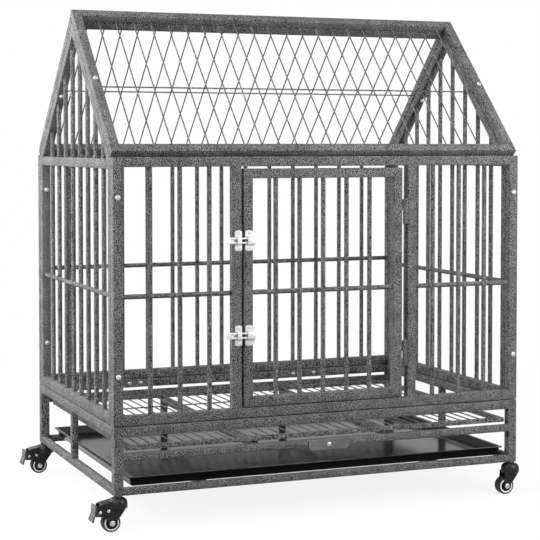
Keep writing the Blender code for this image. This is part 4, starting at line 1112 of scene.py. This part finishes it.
@dataclass
class Latches:
    """The two slide latches: plate on the post, keeper on the door, and the bolt between them."""

    fasteners: Fasteners
    thickness: float = 0.0014
    rounding: float = 0.0026
    strap_half: float = 0.0090
    strap_wall: float = 0.0018
    rod_radius: float = 0.0020
    screw_radius: float = 0.0032
    screw_height: float = 0.0013
    screw_rise: float = 0.0158
    plate_bevel: float = 0.0004
    hat_power: float = 0.45
    hat_steps: int = 13
    lip: float = 0.003
    tab_rise: float = 0.0135
    strap_reach: Pair = (0.0040, 0.0046)
    paddle_gap: float = 0.0025
    paddle_thickness: float = 0.0017
    paddle_set: float = 0.0008
    paddle_curl: float = 0.0022
    curl_share: float = 0.55
    tip_share: float = 0.22
    rod_overlap: float = 0.006
    rod_half_spacing: float = 0.0045
    bend_steps: int = 12

    def outline(self, left: float, right: float, low: float, high: float) -> Array:
        """An upright plate's outline, whose two ends are shallow arcs.

        An end's height falls by the rounding times the square of the share from its middle.
        """
        share = np.linspace(-1.0, 1.0, 9)
        x = (left + right) / 2 + share * (right - left) / 2
        bottom = np.stack((x, low + self.rounding * share**2), axis=-1)
        top = np.stack((x[::-1], high - self.rounding * share**2), axis=-1)
        return np.concatenate((bottom, top))

    def strap(self, form: Form, stations: Array, scales: Array, z: float, face: float, top: float) -> None:
        """Add the raised strap that the rods run under.

        Its section is a rounded hat with a slot inside, carried along X; each station has a scale that
        narrows the hat's height above the plate and its half length.

        Args:
            form: The plate's surfaces.
            stations: The x of each section.
            scales: The scale at each station.
            z: The strap's middle height.
            face: The plate's outer face.
            top: The strap's outer face.
        """
        turn = np.linspace(0.0, math.pi, self.hat_steps)
        stand = face - top
        half, wall, power = self.strap_half, self.strap_wall, self.hat_power
        hat_z = half * np.sign(np.cos(turn)) * np.abs(np.cos(turn)) ** power
        hat_y = stand * np.abs(np.sin(turn)) ** power
        slot_z = (half - wall) * np.sign(np.cos(turn)) * np.abs(np.cos(turn)) ** power
        slot_y = (stand - wall) * np.abs(np.sin(turn)) ** power
        section_z = np.concatenate((hat_z, slot_z[::-1]))
        section_y = np.concatenate((hat_y, slot_y[::-1]))
        rings = np.empty((len(stations), len(section_z), 3))
        rings[..., 0] = stations[:, None]
        rings[..., 1] = face - section_y[None, :] * scales[:, None]
        rings[..., 2] = z + section_z[None, :]
        form.loft(rings)

    def build_plate(self, node: str, body: str, keeper: bool) -> None:
        """Make a latch plate or a keeper, with its strap and two screws."""
        low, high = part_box(node)
        form = Form()
        face = high.y - self.thickness
        z = (low.z + high.z) / 2
        right = high.x - (self.lip if keeper else 0.0)
        form.sheet(self.outline(low.x, right, low.z, high.z), face, high.y, 1, self.plate_bevel)
        middle = (low.x + right) / 2
        if keeper:
            stations = np.array((low.x + 0.0030, low.x + 0.0036, right - self.lip, right, high.x))
            scales = np.array((0.97, 1.0, 1.0, 0.93, 0.80))
            for end in (-1, 1):
                tab = round_outline(0.006, 0.009, 0.001, 3) + (right, z + end * self.tab_rise)
                form.sheet(tab, face + 0.0001, high.y, 1, 0.0003)
        else:
            near, far = self.strap_reach
            stations = np.array((middle - far, middle - near, middle + near, middle + far))
            scales = np.array((0.97, 1.0, 1.0, 0.97))
        self.strap(form, stations, scales, z, face, low.y)
        for end in (-1, 1):
            spot = (middle, face - self.screw_height, z + end * self.screw_rise)
            self.fasteners.screw(form, spot, BACK, self.screw_radius, self.screw_height)
        settle(form, f"{node}_pressed", ZINC, body, [node], 40.0)

    def build_bolt(self, level: Level) -> None:
        """Make a latch's bolt: a curled thumb plate and a rod bent into a long loop.

        The loop's path runs out along one rod, round half a circle at the far end and back. The thumb
        plate's middle line curls outwards with the square of the share towards its tip.
        """
        node = f"latch_bolt_{level.name.lower()}"
        low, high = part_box(node)
        y = (low.y + high.y) / 2
        z = (low.z + high.z) / 2
        plate_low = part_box(f"latch_plate_{level.name.lower()}")[0]
        paddle_right = plate_low.x - self.paddle_gap
        length = paddle_right - low.x
        form = Form()
        share = np.linspace(0.0, 1.0, 14)
        x = low.x + length * share
        curl = np.clip(1 - share / self.curl_share, 0.0, 1.0) ** 2
        tip = np.sqrt(np.clip(1 - (1 - np.clip(share / self.tip_share, 0.0, 1.0)) ** 2, 0.12, 1.0))
        section = round_outline(1.0, 1.0, 0.22, 4)
        rings = np.empty((len(x), len(section), 3))
        rings[..., 0] = x[:, None]
        middle = y + self.paddle_set - self.paddle_curl * curl[:, None]
        rings[..., 1] = middle + section[None, :, 0] * self.paddle_thickness
        reach = (high.z - low.z) * (0.86 + 0.14 * tip) * tip
        rings[..., 2] = z + section[None, :, 1] * reach[:, None]
        form.loft(rings)
        spacing = self.rod_half_spacing
        end_x = high.x - self.rod_radius - spacing
        turn = np.linspace(-math.pi / 2, math.pi / 2, self.bend_steps)
        bend = np.stack((end_x + spacing * np.cos(turn), np.full(self.bend_steps, y),
                         z + spacing * np.sin(turn)), axis=-1)
        start = paddle_right - self.rod_overlap
        path = np.concatenate(([(start, y, z - spacing)], bend, [(start, y, z + spacing)]))
        form.swept(path, circle(self.rod_radius, 14), BACK)
        settle(form, f"{node}_bent", ZINC, node, [node], 50.0)

    def build(self) -> None:
        """Make both latches."""
        for level in Level:
            name = level.name.lower()
            self.build_plate(f"latch_plate_{name}", "cage", False)
            self.build_plate(f"latch_keeper_{name}", "door", True)
            self.build_bolt(level)


@dataclass
class Fittings:
    """The turn latch with its screw, and the two joining plates with theirs."""

    fasteners: Fasteners
    clip: float = 0.005
    hole: float = 0.0026
    plate_bevel: float = 0.0005
    screw_radius: float = 0.0048
    screw_height: float = 0.0022
    screw_shank: float = 0.0020

    def build_turn_latch(self) -> None:
        """Make the turning plate with clipped corners and its screw."""
        low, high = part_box("turn_latch")
        half_x, half_z = (high.x - low.x) / 2, (high.z - low.z) / 2
        centre = ((low.x + high.x) / 2, 0.0, (low.z + high.z) / 2)
        cut_x, cut_z = half_x - self.clip, half_z - self.clip
        corners = np.array([(half_x, -cut_z), (half_x, cut_z), (cut_x, half_z), (-cut_x, half_z),
                            (-half_x, cut_z), (-half_x, -cut_z), (-cut_x, -half_z), (cut_x, -half_z)])
        after = np.roll(corners, -1, axis=0)
        shares = np.arange(4)[None, :, None] / 4
        outline = (corners[:, None, :] * (1 - shares) + after[:, None, :] * shares).reshape(-1, 2)
        form = Form()
        form.holed(outline, self.hole, low.y, high.y, 1, self.plate_bevel)
        settle(form.shifted(centre), "turn_latch_plate", FLAT_COAT, "turn_latch", ["turn_latch"])
        self.build_screw("turn_latch_screw")

    def build_screw(self, node: str) -> None:
        """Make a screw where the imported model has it, with its head to the front."""
        low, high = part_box(node)
        form = Form()
        start = ((low.x + high.x) / 2, low.y, (low.z + high.z) / 2)
        height = self.screw_height
        length = high.y - low.y - height
        self.fasteners.screw(form, start, BACK, self.screw_radius, height, self.screw_shank, length)
        settle(form, f"{node}_turned", STEEL, "cage", [node])

    def build_joining(self, side: Side) -> None:
        """Make a joining plate on the stand's rear rail, and its two screws."""
        node = f"joining_plate_{side.name.lower()}"
        low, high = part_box(node)
        outline = round_outline(high.x - low.x, high.z - low.z, 0.003, 4)
        outline = outline + ((low.x + high.x) / 2, (low.z + high.z) / 2)
        form = Form()
        form.sheet(outline, low.y, high.y, 1, self.plate_bevel)
        settle(form, f"{node}_cut", POWDER_COAT, "cage", [node])
        for letter in "ab":
            self.build_screw(f"joining_screw_{side.name.lower()}_{letter}")

    def build(self) -> None:
        """Make the turn latch and both joining plates."""
        self.build_turn_latch()
        for side in Side:
            self.build_joining(side)


@dataclass
class Floor:
    """The grate and the waste tray that slide out to the front."""

    plan: Layout
    frame_bar: float = 0.010
    wire_pitch: float = 0.0236
    cross_count: int = 3
    tray_foot: float = 0.005
    tray_rim: float = 0.005
    tray_wall: float = 0.0020
    tray_corner: float = 0.0075
    least_corner: float = 0.003
    grate_wire_depth: float = 0.0005

    def build_grate(self) -> None:
        """Make the grate: a mitred frame with round wires from front to back over a few cross wires."""
        plan = self.plan
        low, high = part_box("floor_grate")
        half_x = (high.x - low.x) / 2
        corners = rectangle(-half_x, half_x, low.y, high.y)
        form = Form()
        origin = (plan.middle, 0.0, low.z)
        form.mitred(corners, self.frame_bar, high.z - low.z, 0.0010, origin, (RIGHT, BACK, UP))
        radius = plan.wire_radius
        inner_x = half_x - self.frame_bar
        front, rear = low.y + self.frame_bar - BURIED, high.y - self.frame_bar + BURIED
        top = high.z - self.grate_wire_depth - radius
        count = int((inner_x - 2 * radius) / self.wire_pitch)
        for step in range(-count, count + 1):
            x = plan.x(step * self.wire_pitch)
            form.bar((x, front, top), (x, rear, top), radius, 8)
        under = top - 2 * radius
        for step in range(self.cross_count):
            y = low.y + (step + 1) * (high.y - low.y) / (self.cross_count + 1)
            ends = plan.x(-inner_x - BURIED), plan.x(inner_x + BURIED)
            form.bar((ends[0], y, under), (ends[1], y, under), radius, 8)
        settle(form, "grate", POWDER_COAT, "floor_grate", ["floor_grate"])

    def build_tray(self) -> None:
        """Make the tray: rounded rings down the tapered outside, over the rolled rim and down the inside.

        Each ring is a rounded rectangle drawn in from the rim by its own inset, at its own height.
        """
        low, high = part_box("waste_tray")
        half_x, half_y = (high.x - low.x) / 2, (high.y - low.y) / 2
        wall, rim, foot = self.tray_wall, self.tray_rim, self.tray_rim + self.tray_foot
        z_low, z_high = low.z, high.z
        turn = np.linspace(-math.pi / 2, math.pi / 2, 7)
        roll_inset = wall / 2 * (1 - np.cos(turn))
        roll_z = z_high - wall / 2 + wall / 2 * np.sin(turn)
        rows = [(foot + 0.030, z_low), (foot + 0.0015, z_low), (foot, z_low + 0.0008),
                (rim + 0.0006, z_high - wall - 0.0012), (rim - 0.0006, z_high - wall),
                *zip(roll_inset.tolist(), roll_z.tolist()),
                (rim + wall - 0.0006, z_high), (rim + wall + 0.0006, z_high - 0.0010),
                (foot + wall - 0.0004, z_low + wall + 0.0010), (foot + wall + 0.0010, z_low + wall),
                (foot + 0.032, z_low + wall)]
        rings = []
        for drawn, z in rows:
            corner = max(self.tray_corner - drawn * 0.25, self.least_corner)
            ring = round_outline(2 * (half_x - drawn), 2 * (half_y - drawn), corner, 6)
            rings.append(np.insert(ring, 2, z, axis=1))
        form = Form()
        form.loft(np.stack(rings))
        centre = ((low.x + high.x) / 2, (low.y + high.y) / 2, 0.0)
        settle(form.shifted(centre), "tray", TRAY_BLACK, "waste_tray", ["waste_tray"])

    def build(self) -> None:
        """Make the grate and the tray."""
        self.build_grate()
        self.build_tray()


@dataclass
class Caster:
    """One swivel caster: stem, domed fork, wheel and axle, with a brake pedal on the left ones."""

    plan: Layout
    side: Side
    end: End
    trail: float = 0.015
    wheel_radius: float = 0.019
    wheel_width: float = 0.020
    dome_radius: float = 0.0198
    cheek_gap: float = 0.0006
    cheek: float = 0.003
    boss: float = 0.0085
    bore: float = 0.0042
    ring_radii: Pair = (0.0122, 0.0152)
    ring_rise: float = 0.0006
    ring_sunk: float = 0.0004
    crown: float = 0.0011
    cover_rivet: Pair = (-0.0225, 0.0269)
    pedal_rivet: Pair = (-0.0396, 0.0283)
    rivet_sunk: float = 0.0002
    pad_half: float = 0.015
    arm_half: float = 0.008
    nose_half: float = 0.0022
    nose_gap: float = 0.0012

    def __post_init__(self) -> None:
        """Find the caster's place under its post."""
        self.name = f"{self.end.name.lower()}_{self.side.name.lower()}"
        half = self.plan.tube / 2
        self.x = self.plan.x(self.side.value * (self.plan.half_width - half))
        self.y = self.end.value * (self.plan.half_depth - half)
        self.top = self.plan.base_low
        self.braked = self.side is Side.LEFT
        self.axle = np.array((self.x - self.trail, self.y, self.wheel_radius))
        self.inner = self.wheel_width / 2 + self.cheek_gap
        self.outer = self.inner + self.cheek

    def drops(self, points: Sequence[Pair]) -> Array:
        """Pairs of offset from the swivel axis and drop from the post's foot, as x and z."""
        pairs = np.asarray(points, dtype=float)
        return np.stack((self.x + pairs[:, 0], self.top - pairs[:, 1]), axis=-1)

    def build_stem(self) -> None:
        """Make the stem: kingpin head, pin, collar and the shank inside the post."""
        node = f"caster_stem_{self.name}"
        low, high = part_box(node)
        seam = self.plan.seam
        collar = self.top - seam
        form = Form()
        profile = [(0.0052, low.z), (0.0060, low.z + 0.0006), (0.0060, low.z + 0.0025),
                   (0.0036, low.z + 0.0025), (0.0036, collar - 0.003), (0.0084, collar - 0.003),
                   (0.0090, collar - 0.0024), (0.0090, collar - 0.0006), (0.0086, collar),
                   (0.0050, collar), (0.0050, high.z - 0.001), (0.0042, high.z)]
        form.turned(profile, (self.x, self.y, 0.0), UP, 24)
        settle(form, f"{node}_turned", DARK_STEEL, "cage", [node])

    def build_fork(self) -> None:
        """Make the fork: a hollow dome over two cheeks, and the brake's cover between the left ones."""
        node = f"caster_fork_{self.name}"
        form = Form()
        radius = self.dome_radius
        profile = [(self.bore, 0.0245), (radius - 0.0012, 0.0245), (radius, 0.0233), (radius, 0.0150),
                   (radius * 0.985, 0.0120), (radius * 0.94, 0.0092), (radius * 0.86, 0.0073),
                   (radius * 0.84, 0.0066), (radius * 0.80, 0.0066), (radius * 0.77, 0.0058),
                   (radius * 0.66, 0.0043), (radius * 0.55, 0.0038), (self.bore, 0.0038)]
        form.turned([(r, -drop) for r, drop in profile], (self.x, self.y, self.top), UP, 40, hollow=True)
        outline = self.cheek_outline()
        for sign in (-1, 1):
            ends = sorted((self.y + sign * self.inner, self.y + sign * self.outer))
            form.sheet(outline, ends[0], ends[1], 1, 0.0005)
        if self.braked:
            roof = self.drops([(-0.0386, 0.0150), (-0.0198, 0.0115), (-0.0100, 0.0115),
                               (-0.0100, 0.0068), (-0.0198, 0.0090), (-0.0386, 0.0125)])
            form.sheet(soften(roof, 1), self.y - self.inner - BURIED, self.y + self.inner + BURIED, 1)
        settle(form, f"{node}_moulded", CASTER_BLACK, f"swivel_{self.name}", [node])

    def cheek_outline(self) -> Array:
        """A cheek's outline with its corners cut: from the dome down round the axle's boss and back up."""
        turn = np.radians(np.arange(20, -161, -18))
        boss = self.axle[[0, 2]] + self.boss * np.stack((np.cos(turn), np.sin(turn)), axis=-1)
        front = np.array([(self.x + 0.0183, self.top - 0.0170), (self.x + 0.0015, self.axle[2] + 0.0105)])
        rear = [(-0.0188, 0.0310), (-0.0193, 0.0170)]
        if self.braked:
            rear = [(-0.0275, 0.0380), (-0.0386, 0.0345), (-0.0426, 0.0300), (-0.0426, 0.0165),
                    (-0.0386, 0.0125), (-0.0198, 0.0090), (-0.0100, 0.0068)]
        return soften(np.concatenate((front, boss, self.drops(rear)))[::-1], 2)

    def build_rivets(self) -> None:
        """Make the bright rivet heads on both faces of the brake's cover."""
        form = Form()
        for x, z in self.drops([self.cover_rivet, self.pedal_rivet]):
            for sign in (-1, 1):
                start = (x, self.y + sign * (self.outer - self.rivet_sunk), z)
                dome = [(0.0032, 0.0), (0.0031, 0.0005), (0.0025, 0.0009), (0.0012, 0.0011)]
                form.turned(dome, start, BACK * sign, 20)
        settle(form, f"caster_rivets_{self.name}", STEEL, f"swivel_{self.name}")

    def build_wheel(self) -> None:
        """Make the hub with its white side rings, the crowned tyre and the axle with its bolt heads."""
        body = f"wheel_{self.name}"
        low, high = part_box(f"caster_hub_{self.name}")
        core = (high.z - low.z) / 2
        half = (high.y - low.y) / 2
        form = Form()
        form.turned([(0.0034, -half + 0.0006), (0.0060, -half + 0.0006), (0.0066, -half + 0.0018),
                     (core * 0.84, -half + 0.0018), (core * 0.90, -half), (core, -half), (core, half),
                     (core * 0.90, half), (core * 0.84, half - 0.0018), (0.0066, half - 0.0018),
                     (0.0060, half - 0.0006), (0.0034, half - 0.0006)], self.axle, BACK, 40, hollow=True)
        settle(form, f"caster_hub_{self.name}_moulded", CASTER_BLACK, body, [f"caster_hub_{self.name}"])
        self.build_tyre(body, core + self.plan.seam)
        form = Form()
        reach = self.outer + self.plan.seam
        head = [(0.0044, -reach - 0.0020), (0.0055, -reach - 0.0014), (0.0055, -reach), (0.0029, -reach)]
        form.turned([*head, *[(r, -y) for r, y in head[::-1]]], self.axle, BACK, 28)
        node = f"caster_axle_{self.name}"
        settle(form, f"{node}_turned", STEEL, f"swivel_{self.name}", [node])

    def build_tyre(self, body: str, bore: float) -> None:
        """Make the tyre, whose radius falls off with the fourth power towards its edges, and its rings."""
        half = self.wheel_width / 2
        share = np.linspace(-1.0, 1.0, 13)
        radius = self.wheel_radius - self.crown * share**4
        tread = np.stack((radius, share * half), axis=-1)
        form = Form()
        form.turned([(bore, -half), *map(tuple, tread), (bore, half)], self.axle, BACK, 56, hollow=True)
        settle(form, f"caster_tyre_{self.name}_moulded", TYRE_BLACK, body, [f"caster_tyre_{self.name}"])
        form = Form()
        inner, outer = self.ring_radii
        for sign in (-1, 1):
            start = self.axle + BACK * sign * (half - self.ring_sunk)
            form.turned([(inner, 0.0), (inner + 0.0003, self.ring_rise),
                         (outer - 0.0003, self.ring_rise), (outer, 0.0)],
                        start, BACK * sign, 56, hollow=True)
        settle(form, f"caster_ring_{self.name}", RING_WHITE, body)

    def build_pedal(self) -> None:
        """Make the brake pedal: a ribbed pad outside the cover, an arm, and a nose at the tyre.

        The pad's section runs down its inner face and back up its outer one. The outer face stands
        furthest out at both ends and falls in between with the cosine of its share, with small ribs.
        """
        node = f"brake_pedal_{self.name}"
        pivot = self.drops([self.pedal_rivet])[0]
        top = pivot + (-0.0062, 0.0130)
        foot = pivot + (-0.0135, -0.0190)
        out = np.array((-0.0040, 0.0010))
        share = np.linspace(0.0, 1.0, 41)
        ribs = 0.34 + 0.50 * np.abs(np.cos(math.pi * share)) + 0.16 * (np.cos(share * 16 * math.pi) > 0.0)
        inner = top[None, :] * (1 - share[:, None]) + foot[None, :] * share[:, None]
        outer = (inner + out[None, :] * ribs[:, None])[::-1]
        pad = np.concatenate((inner[[0, -1]], outer))
        form = Form()
        form.sheet(pad, self.y - self.pad_half, self.y + self.pad_half, 1)
        to_axle = self.axle[[0, 2]] - pivot
        reach = float(np.linalg.norm(to_axle)) - self.wheel_radius - self.nose_gap
        run = unit(to_axle)
        tip = pivot + run * reach
        across = np.array((-run[1], run[0])) * self.nose_half
        shares = [top * 0.70 + foot * 0.30 + out / 2, top * 0.30 + foot * 0.70 + out / 2]
        arm = np.array([*shares, tip - across, tip + across, pivot + (0.0030, 0.0045)])
        form.sheet(soften(arm, 1), self.y - self.arm_half, self.y + self.arm_half, 1)
        settle(form, f"{node}_ribbed", PEDAL_GREY, node, [node])

    def build(self) -> None:
        """Make the whole caster."""
        self.build_stem()
        self.build_fork()
        self.build_wheel()
        if self.braked:
            self.build_rivets()
            self.build_pedal()


@dataclass(frozen=True)
class Softbox:
    """A soft rectangular lamp.

    Attributes:
        name: The lamp's name.
        place: Where it hangs.
        target: What it faces.
        size: Its width and height.
        power: Its power in watts.
    """

    name: str
    place: Triple
    target: Triple
    size: Pair
    power: float

    def hang(self) -> None:
        """Make the lamp and aim it."""
        data = bpy.data.lights.new(self.name, "AREA")
        data.shape = "RECTANGLE"
        data.size, data.size_y = self.size
        data.energy = self.power
        lamp = bpy.data.objects.new(self.name, data)
        lamp.location = self.place
        aim = Vector(self.target) - Vector(self.place)
        lamp.rotation_euler = aim.to_track_quat("-Z", "Y").to_euler()
        bpy.context.scene.collection.objects.link(lamp)


SOFTBOXES = (
    Softbox("left softbox", (-1.75, -0.9, 1.15), (-0.3, 0.0, 0.50), (1.4, 1.4), 34.0),
    Softbox("side softbox", (-1.45, 0.35, 1.00), (-0.4, 0.05, 0.50), (1.3, 1.3), 42.0),
    Softbox("top softbox", (-0.3, -0.4, 3.4), (0.0, 0.0, 0.5), (2.6, 2.2), 60.0),
    Softbox("front softbox", (0.95, -1.45, 1.05), (0.1, 0.0, 0.45), (1.2, 1.2), 40.0),
    Softbox("rear softbox", (-0.9, 2.8, 2.2), (0.0, 0.0, 0.5), (1.6, 1.2), 60.0))


@dataclass
class Studio:
    """The pale floor, the soft lamps, the white surroundings and the camera.

    The camera's heading is the turn from +Y towards +X and its dip the fall below the horizon. The
    focal length and the row that the horizon axis meets are in pixels of the photograph's frame.
    """

    camera_place: tuple[float, float, float] = (-1.31036, -3.2777, 0.7745)
    heading: float = 0.3851
    dip: float = 0.0401
    focal: float = 1563.0
    axis_row: float = 205.0
    frame_pixels: float = 540.0
    sensor: float = 36.0
    clip: Pair = (0.05, 60.0)
    ambient: float = 0.07
    floor_tone: float = 0.72
    floor_bounce: float = 0.10
    floor_white: float = 0.88
    floor_radius: float = 9.0
    floor_middle: float = 0.02
    floor_rings: int = 24
    floor_sides: int = 64
    fade_range: Pair = (0.8, 2.2)

    def build_camera(self) -> None:
        """Place the camera at the photograph's viewing angle."""
        data = bpy.data.cameras.new("camera")
        camera = bpy.data.objects.new("camera", data)
        bpy.context.scene.collection.objects.link(camera)
        data.sensor_width = self.sensor
        data.lens = self.focal * data.sensor_width / self.frame_pixels
        data.shift_y = (self.axis_row - self.frame_pixels / 2) / self.frame_pixels
        data.clip_start, data.clip_end = self.clip
        level = math.cos(self.dip)
        sight = Vector((math.sin(self.heading) * level, math.cos(self.heading) * level, -math.sin(self.dip)))
        camera.location = self.camera_place
        camera.rotation_euler = sight.to_track_quat("-Z", "Y").to_euler()
        bpy.context.scene.camera = camera

    def seen(self, board: Board) -> bpy.types.NodeSocket:
        """One for rays from the camera, a mirror or a glass, and nought for the rest."""
        path = board.add("LightPath").outputs
        either = board.add("Math", {0: path["Is Camera Ray"], 1: path["Is Glossy Ray"]}, operation="MAXIMUM")
        both = board.add("Math", {0: either.outputs[0], 1: path["Is Transmission Ray"]}, operation="MAXIMUM")
        return both.outputs[0]

    def build_world(self) -> None:
        """Surround the cage with white that is seen, and with a soft grey that lights it."""
        world = bpy.data.worlds.new("studio")
        world.use_nodes = True
        world.node_tree.nodes.clear()
        board = Board(world.node_tree)
        soft = board.add("Background", {"Color": (1.0, 1.0, 1.0, 1.0), "Strength": self.ambient})
        white = board.add("Background", {"Color": (1.0, 1.0, 1.0, 1.0), "Strength": 1.0})
        mixed = board.add("MixShader", {0: self.seen(board), 1: soft.outputs[0], 2: white.outputs[0]})
        board.add("OutputWorld", {"Surface": mixed.outputs[0]})
        bpy.context.scene.world = world

    def build_floor(self) -> None:
        """Lay the pale floor, which keeps the shadow near the cage and fades to white further out.

        The floor is a disc of rings, whose radius grows with the square of the ring's share.
        """
        rows, sides = self.floor_rings, self.floor_sides
        share = np.linspace(self.floor_middle, 1.0, rows)
        rings = np.zeros((rows, sides, 3))
        rings[..., :2] = circle(1.0, sides)[None] * (self.floor_radius * share**2)[:, None, None]
        mesh = bpy.data.meshes.new("studio_floor")
        faces = [*grid_quads(rows, sides, False), list(range(sides))]
        mesh.from_pydata(rings.reshape(-1, 3), [], faces)
        floor = bpy.data.objects.new("studio_floor", mesh)
        bpy.context.scene.collection.objects.link(floor)
        material = bpy.data.materials.new("pale floor")
        material.use_nodes = True
        material.node_tree.nodes.clear()
        board = Board(material.node_tree)
        place = board.add("TexCoord").outputs["Object"]
        far = board.add("VectorMath", {0: place}, operation="LENGTH").outputs["Value"]
        fade = board.remap(far, *self.fade_range, self.floor_white, 1.0)
        dark = board.add("BsdfDiffuse", {"Color": (*[self.floor_bounce] * 3, 1.0)})
        matt = board.add("BsdfDiffuse", {"Color": (*[self.floor_tone] * 3, 1.0)})
        white = board.add("Emission", {"Color": (1.0, 1.0, 1.0, 1.0), "Strength": 1.0})
        pale = board.add("MixShader", {0: fade, 1: matt.outputs[0], 2: white.outputs[0]})
        mixed = board.add("MixShader", {0: self.seen(board), 1: dark.outputs[0], 2: pale.outputs[0]})
        board.add("OutputMaterial", {"Surface": mixed.outputs[0]})
        mesh.materials.append(material)

    def build(self) -> None:
        """Set up the whole studio."""
        self.build_world()
        self.build_floor()
        for softbox in SOFTBOXES:
            softbox.hang()
        self.build_camera()
        bpy.context.scene.view_settings.view_transform = "Standard"


def main() -> None:
    """Build the studio and every sub-assembly in order."""
    logging.basicConfig(level=logging.INFO, format="%(name)s: %(message)s")
    plan = Layout()
    Studio().build()
    Base(plan).build()
    hinges = Hinges(plan)
    hinges.build()
    walls = Walls(plan, hinges)
    walls.build()
    slope = walls.slope("side_panel_left")
    Door(plan, hinges, walls.mid_z, walls.doorway[1]).build()
    Roof(plan).build(slope)
    fasteners = Fasteners()
    fasteners.build_bolts(slope)
    Latches(fasteners).build()
    Fittings(fasteners).build()
    Floor(plan).build()
    for end in End:
        for side in Side:
            Caster(plan, side, end).build()


if __name__ == "__main__":
    main()
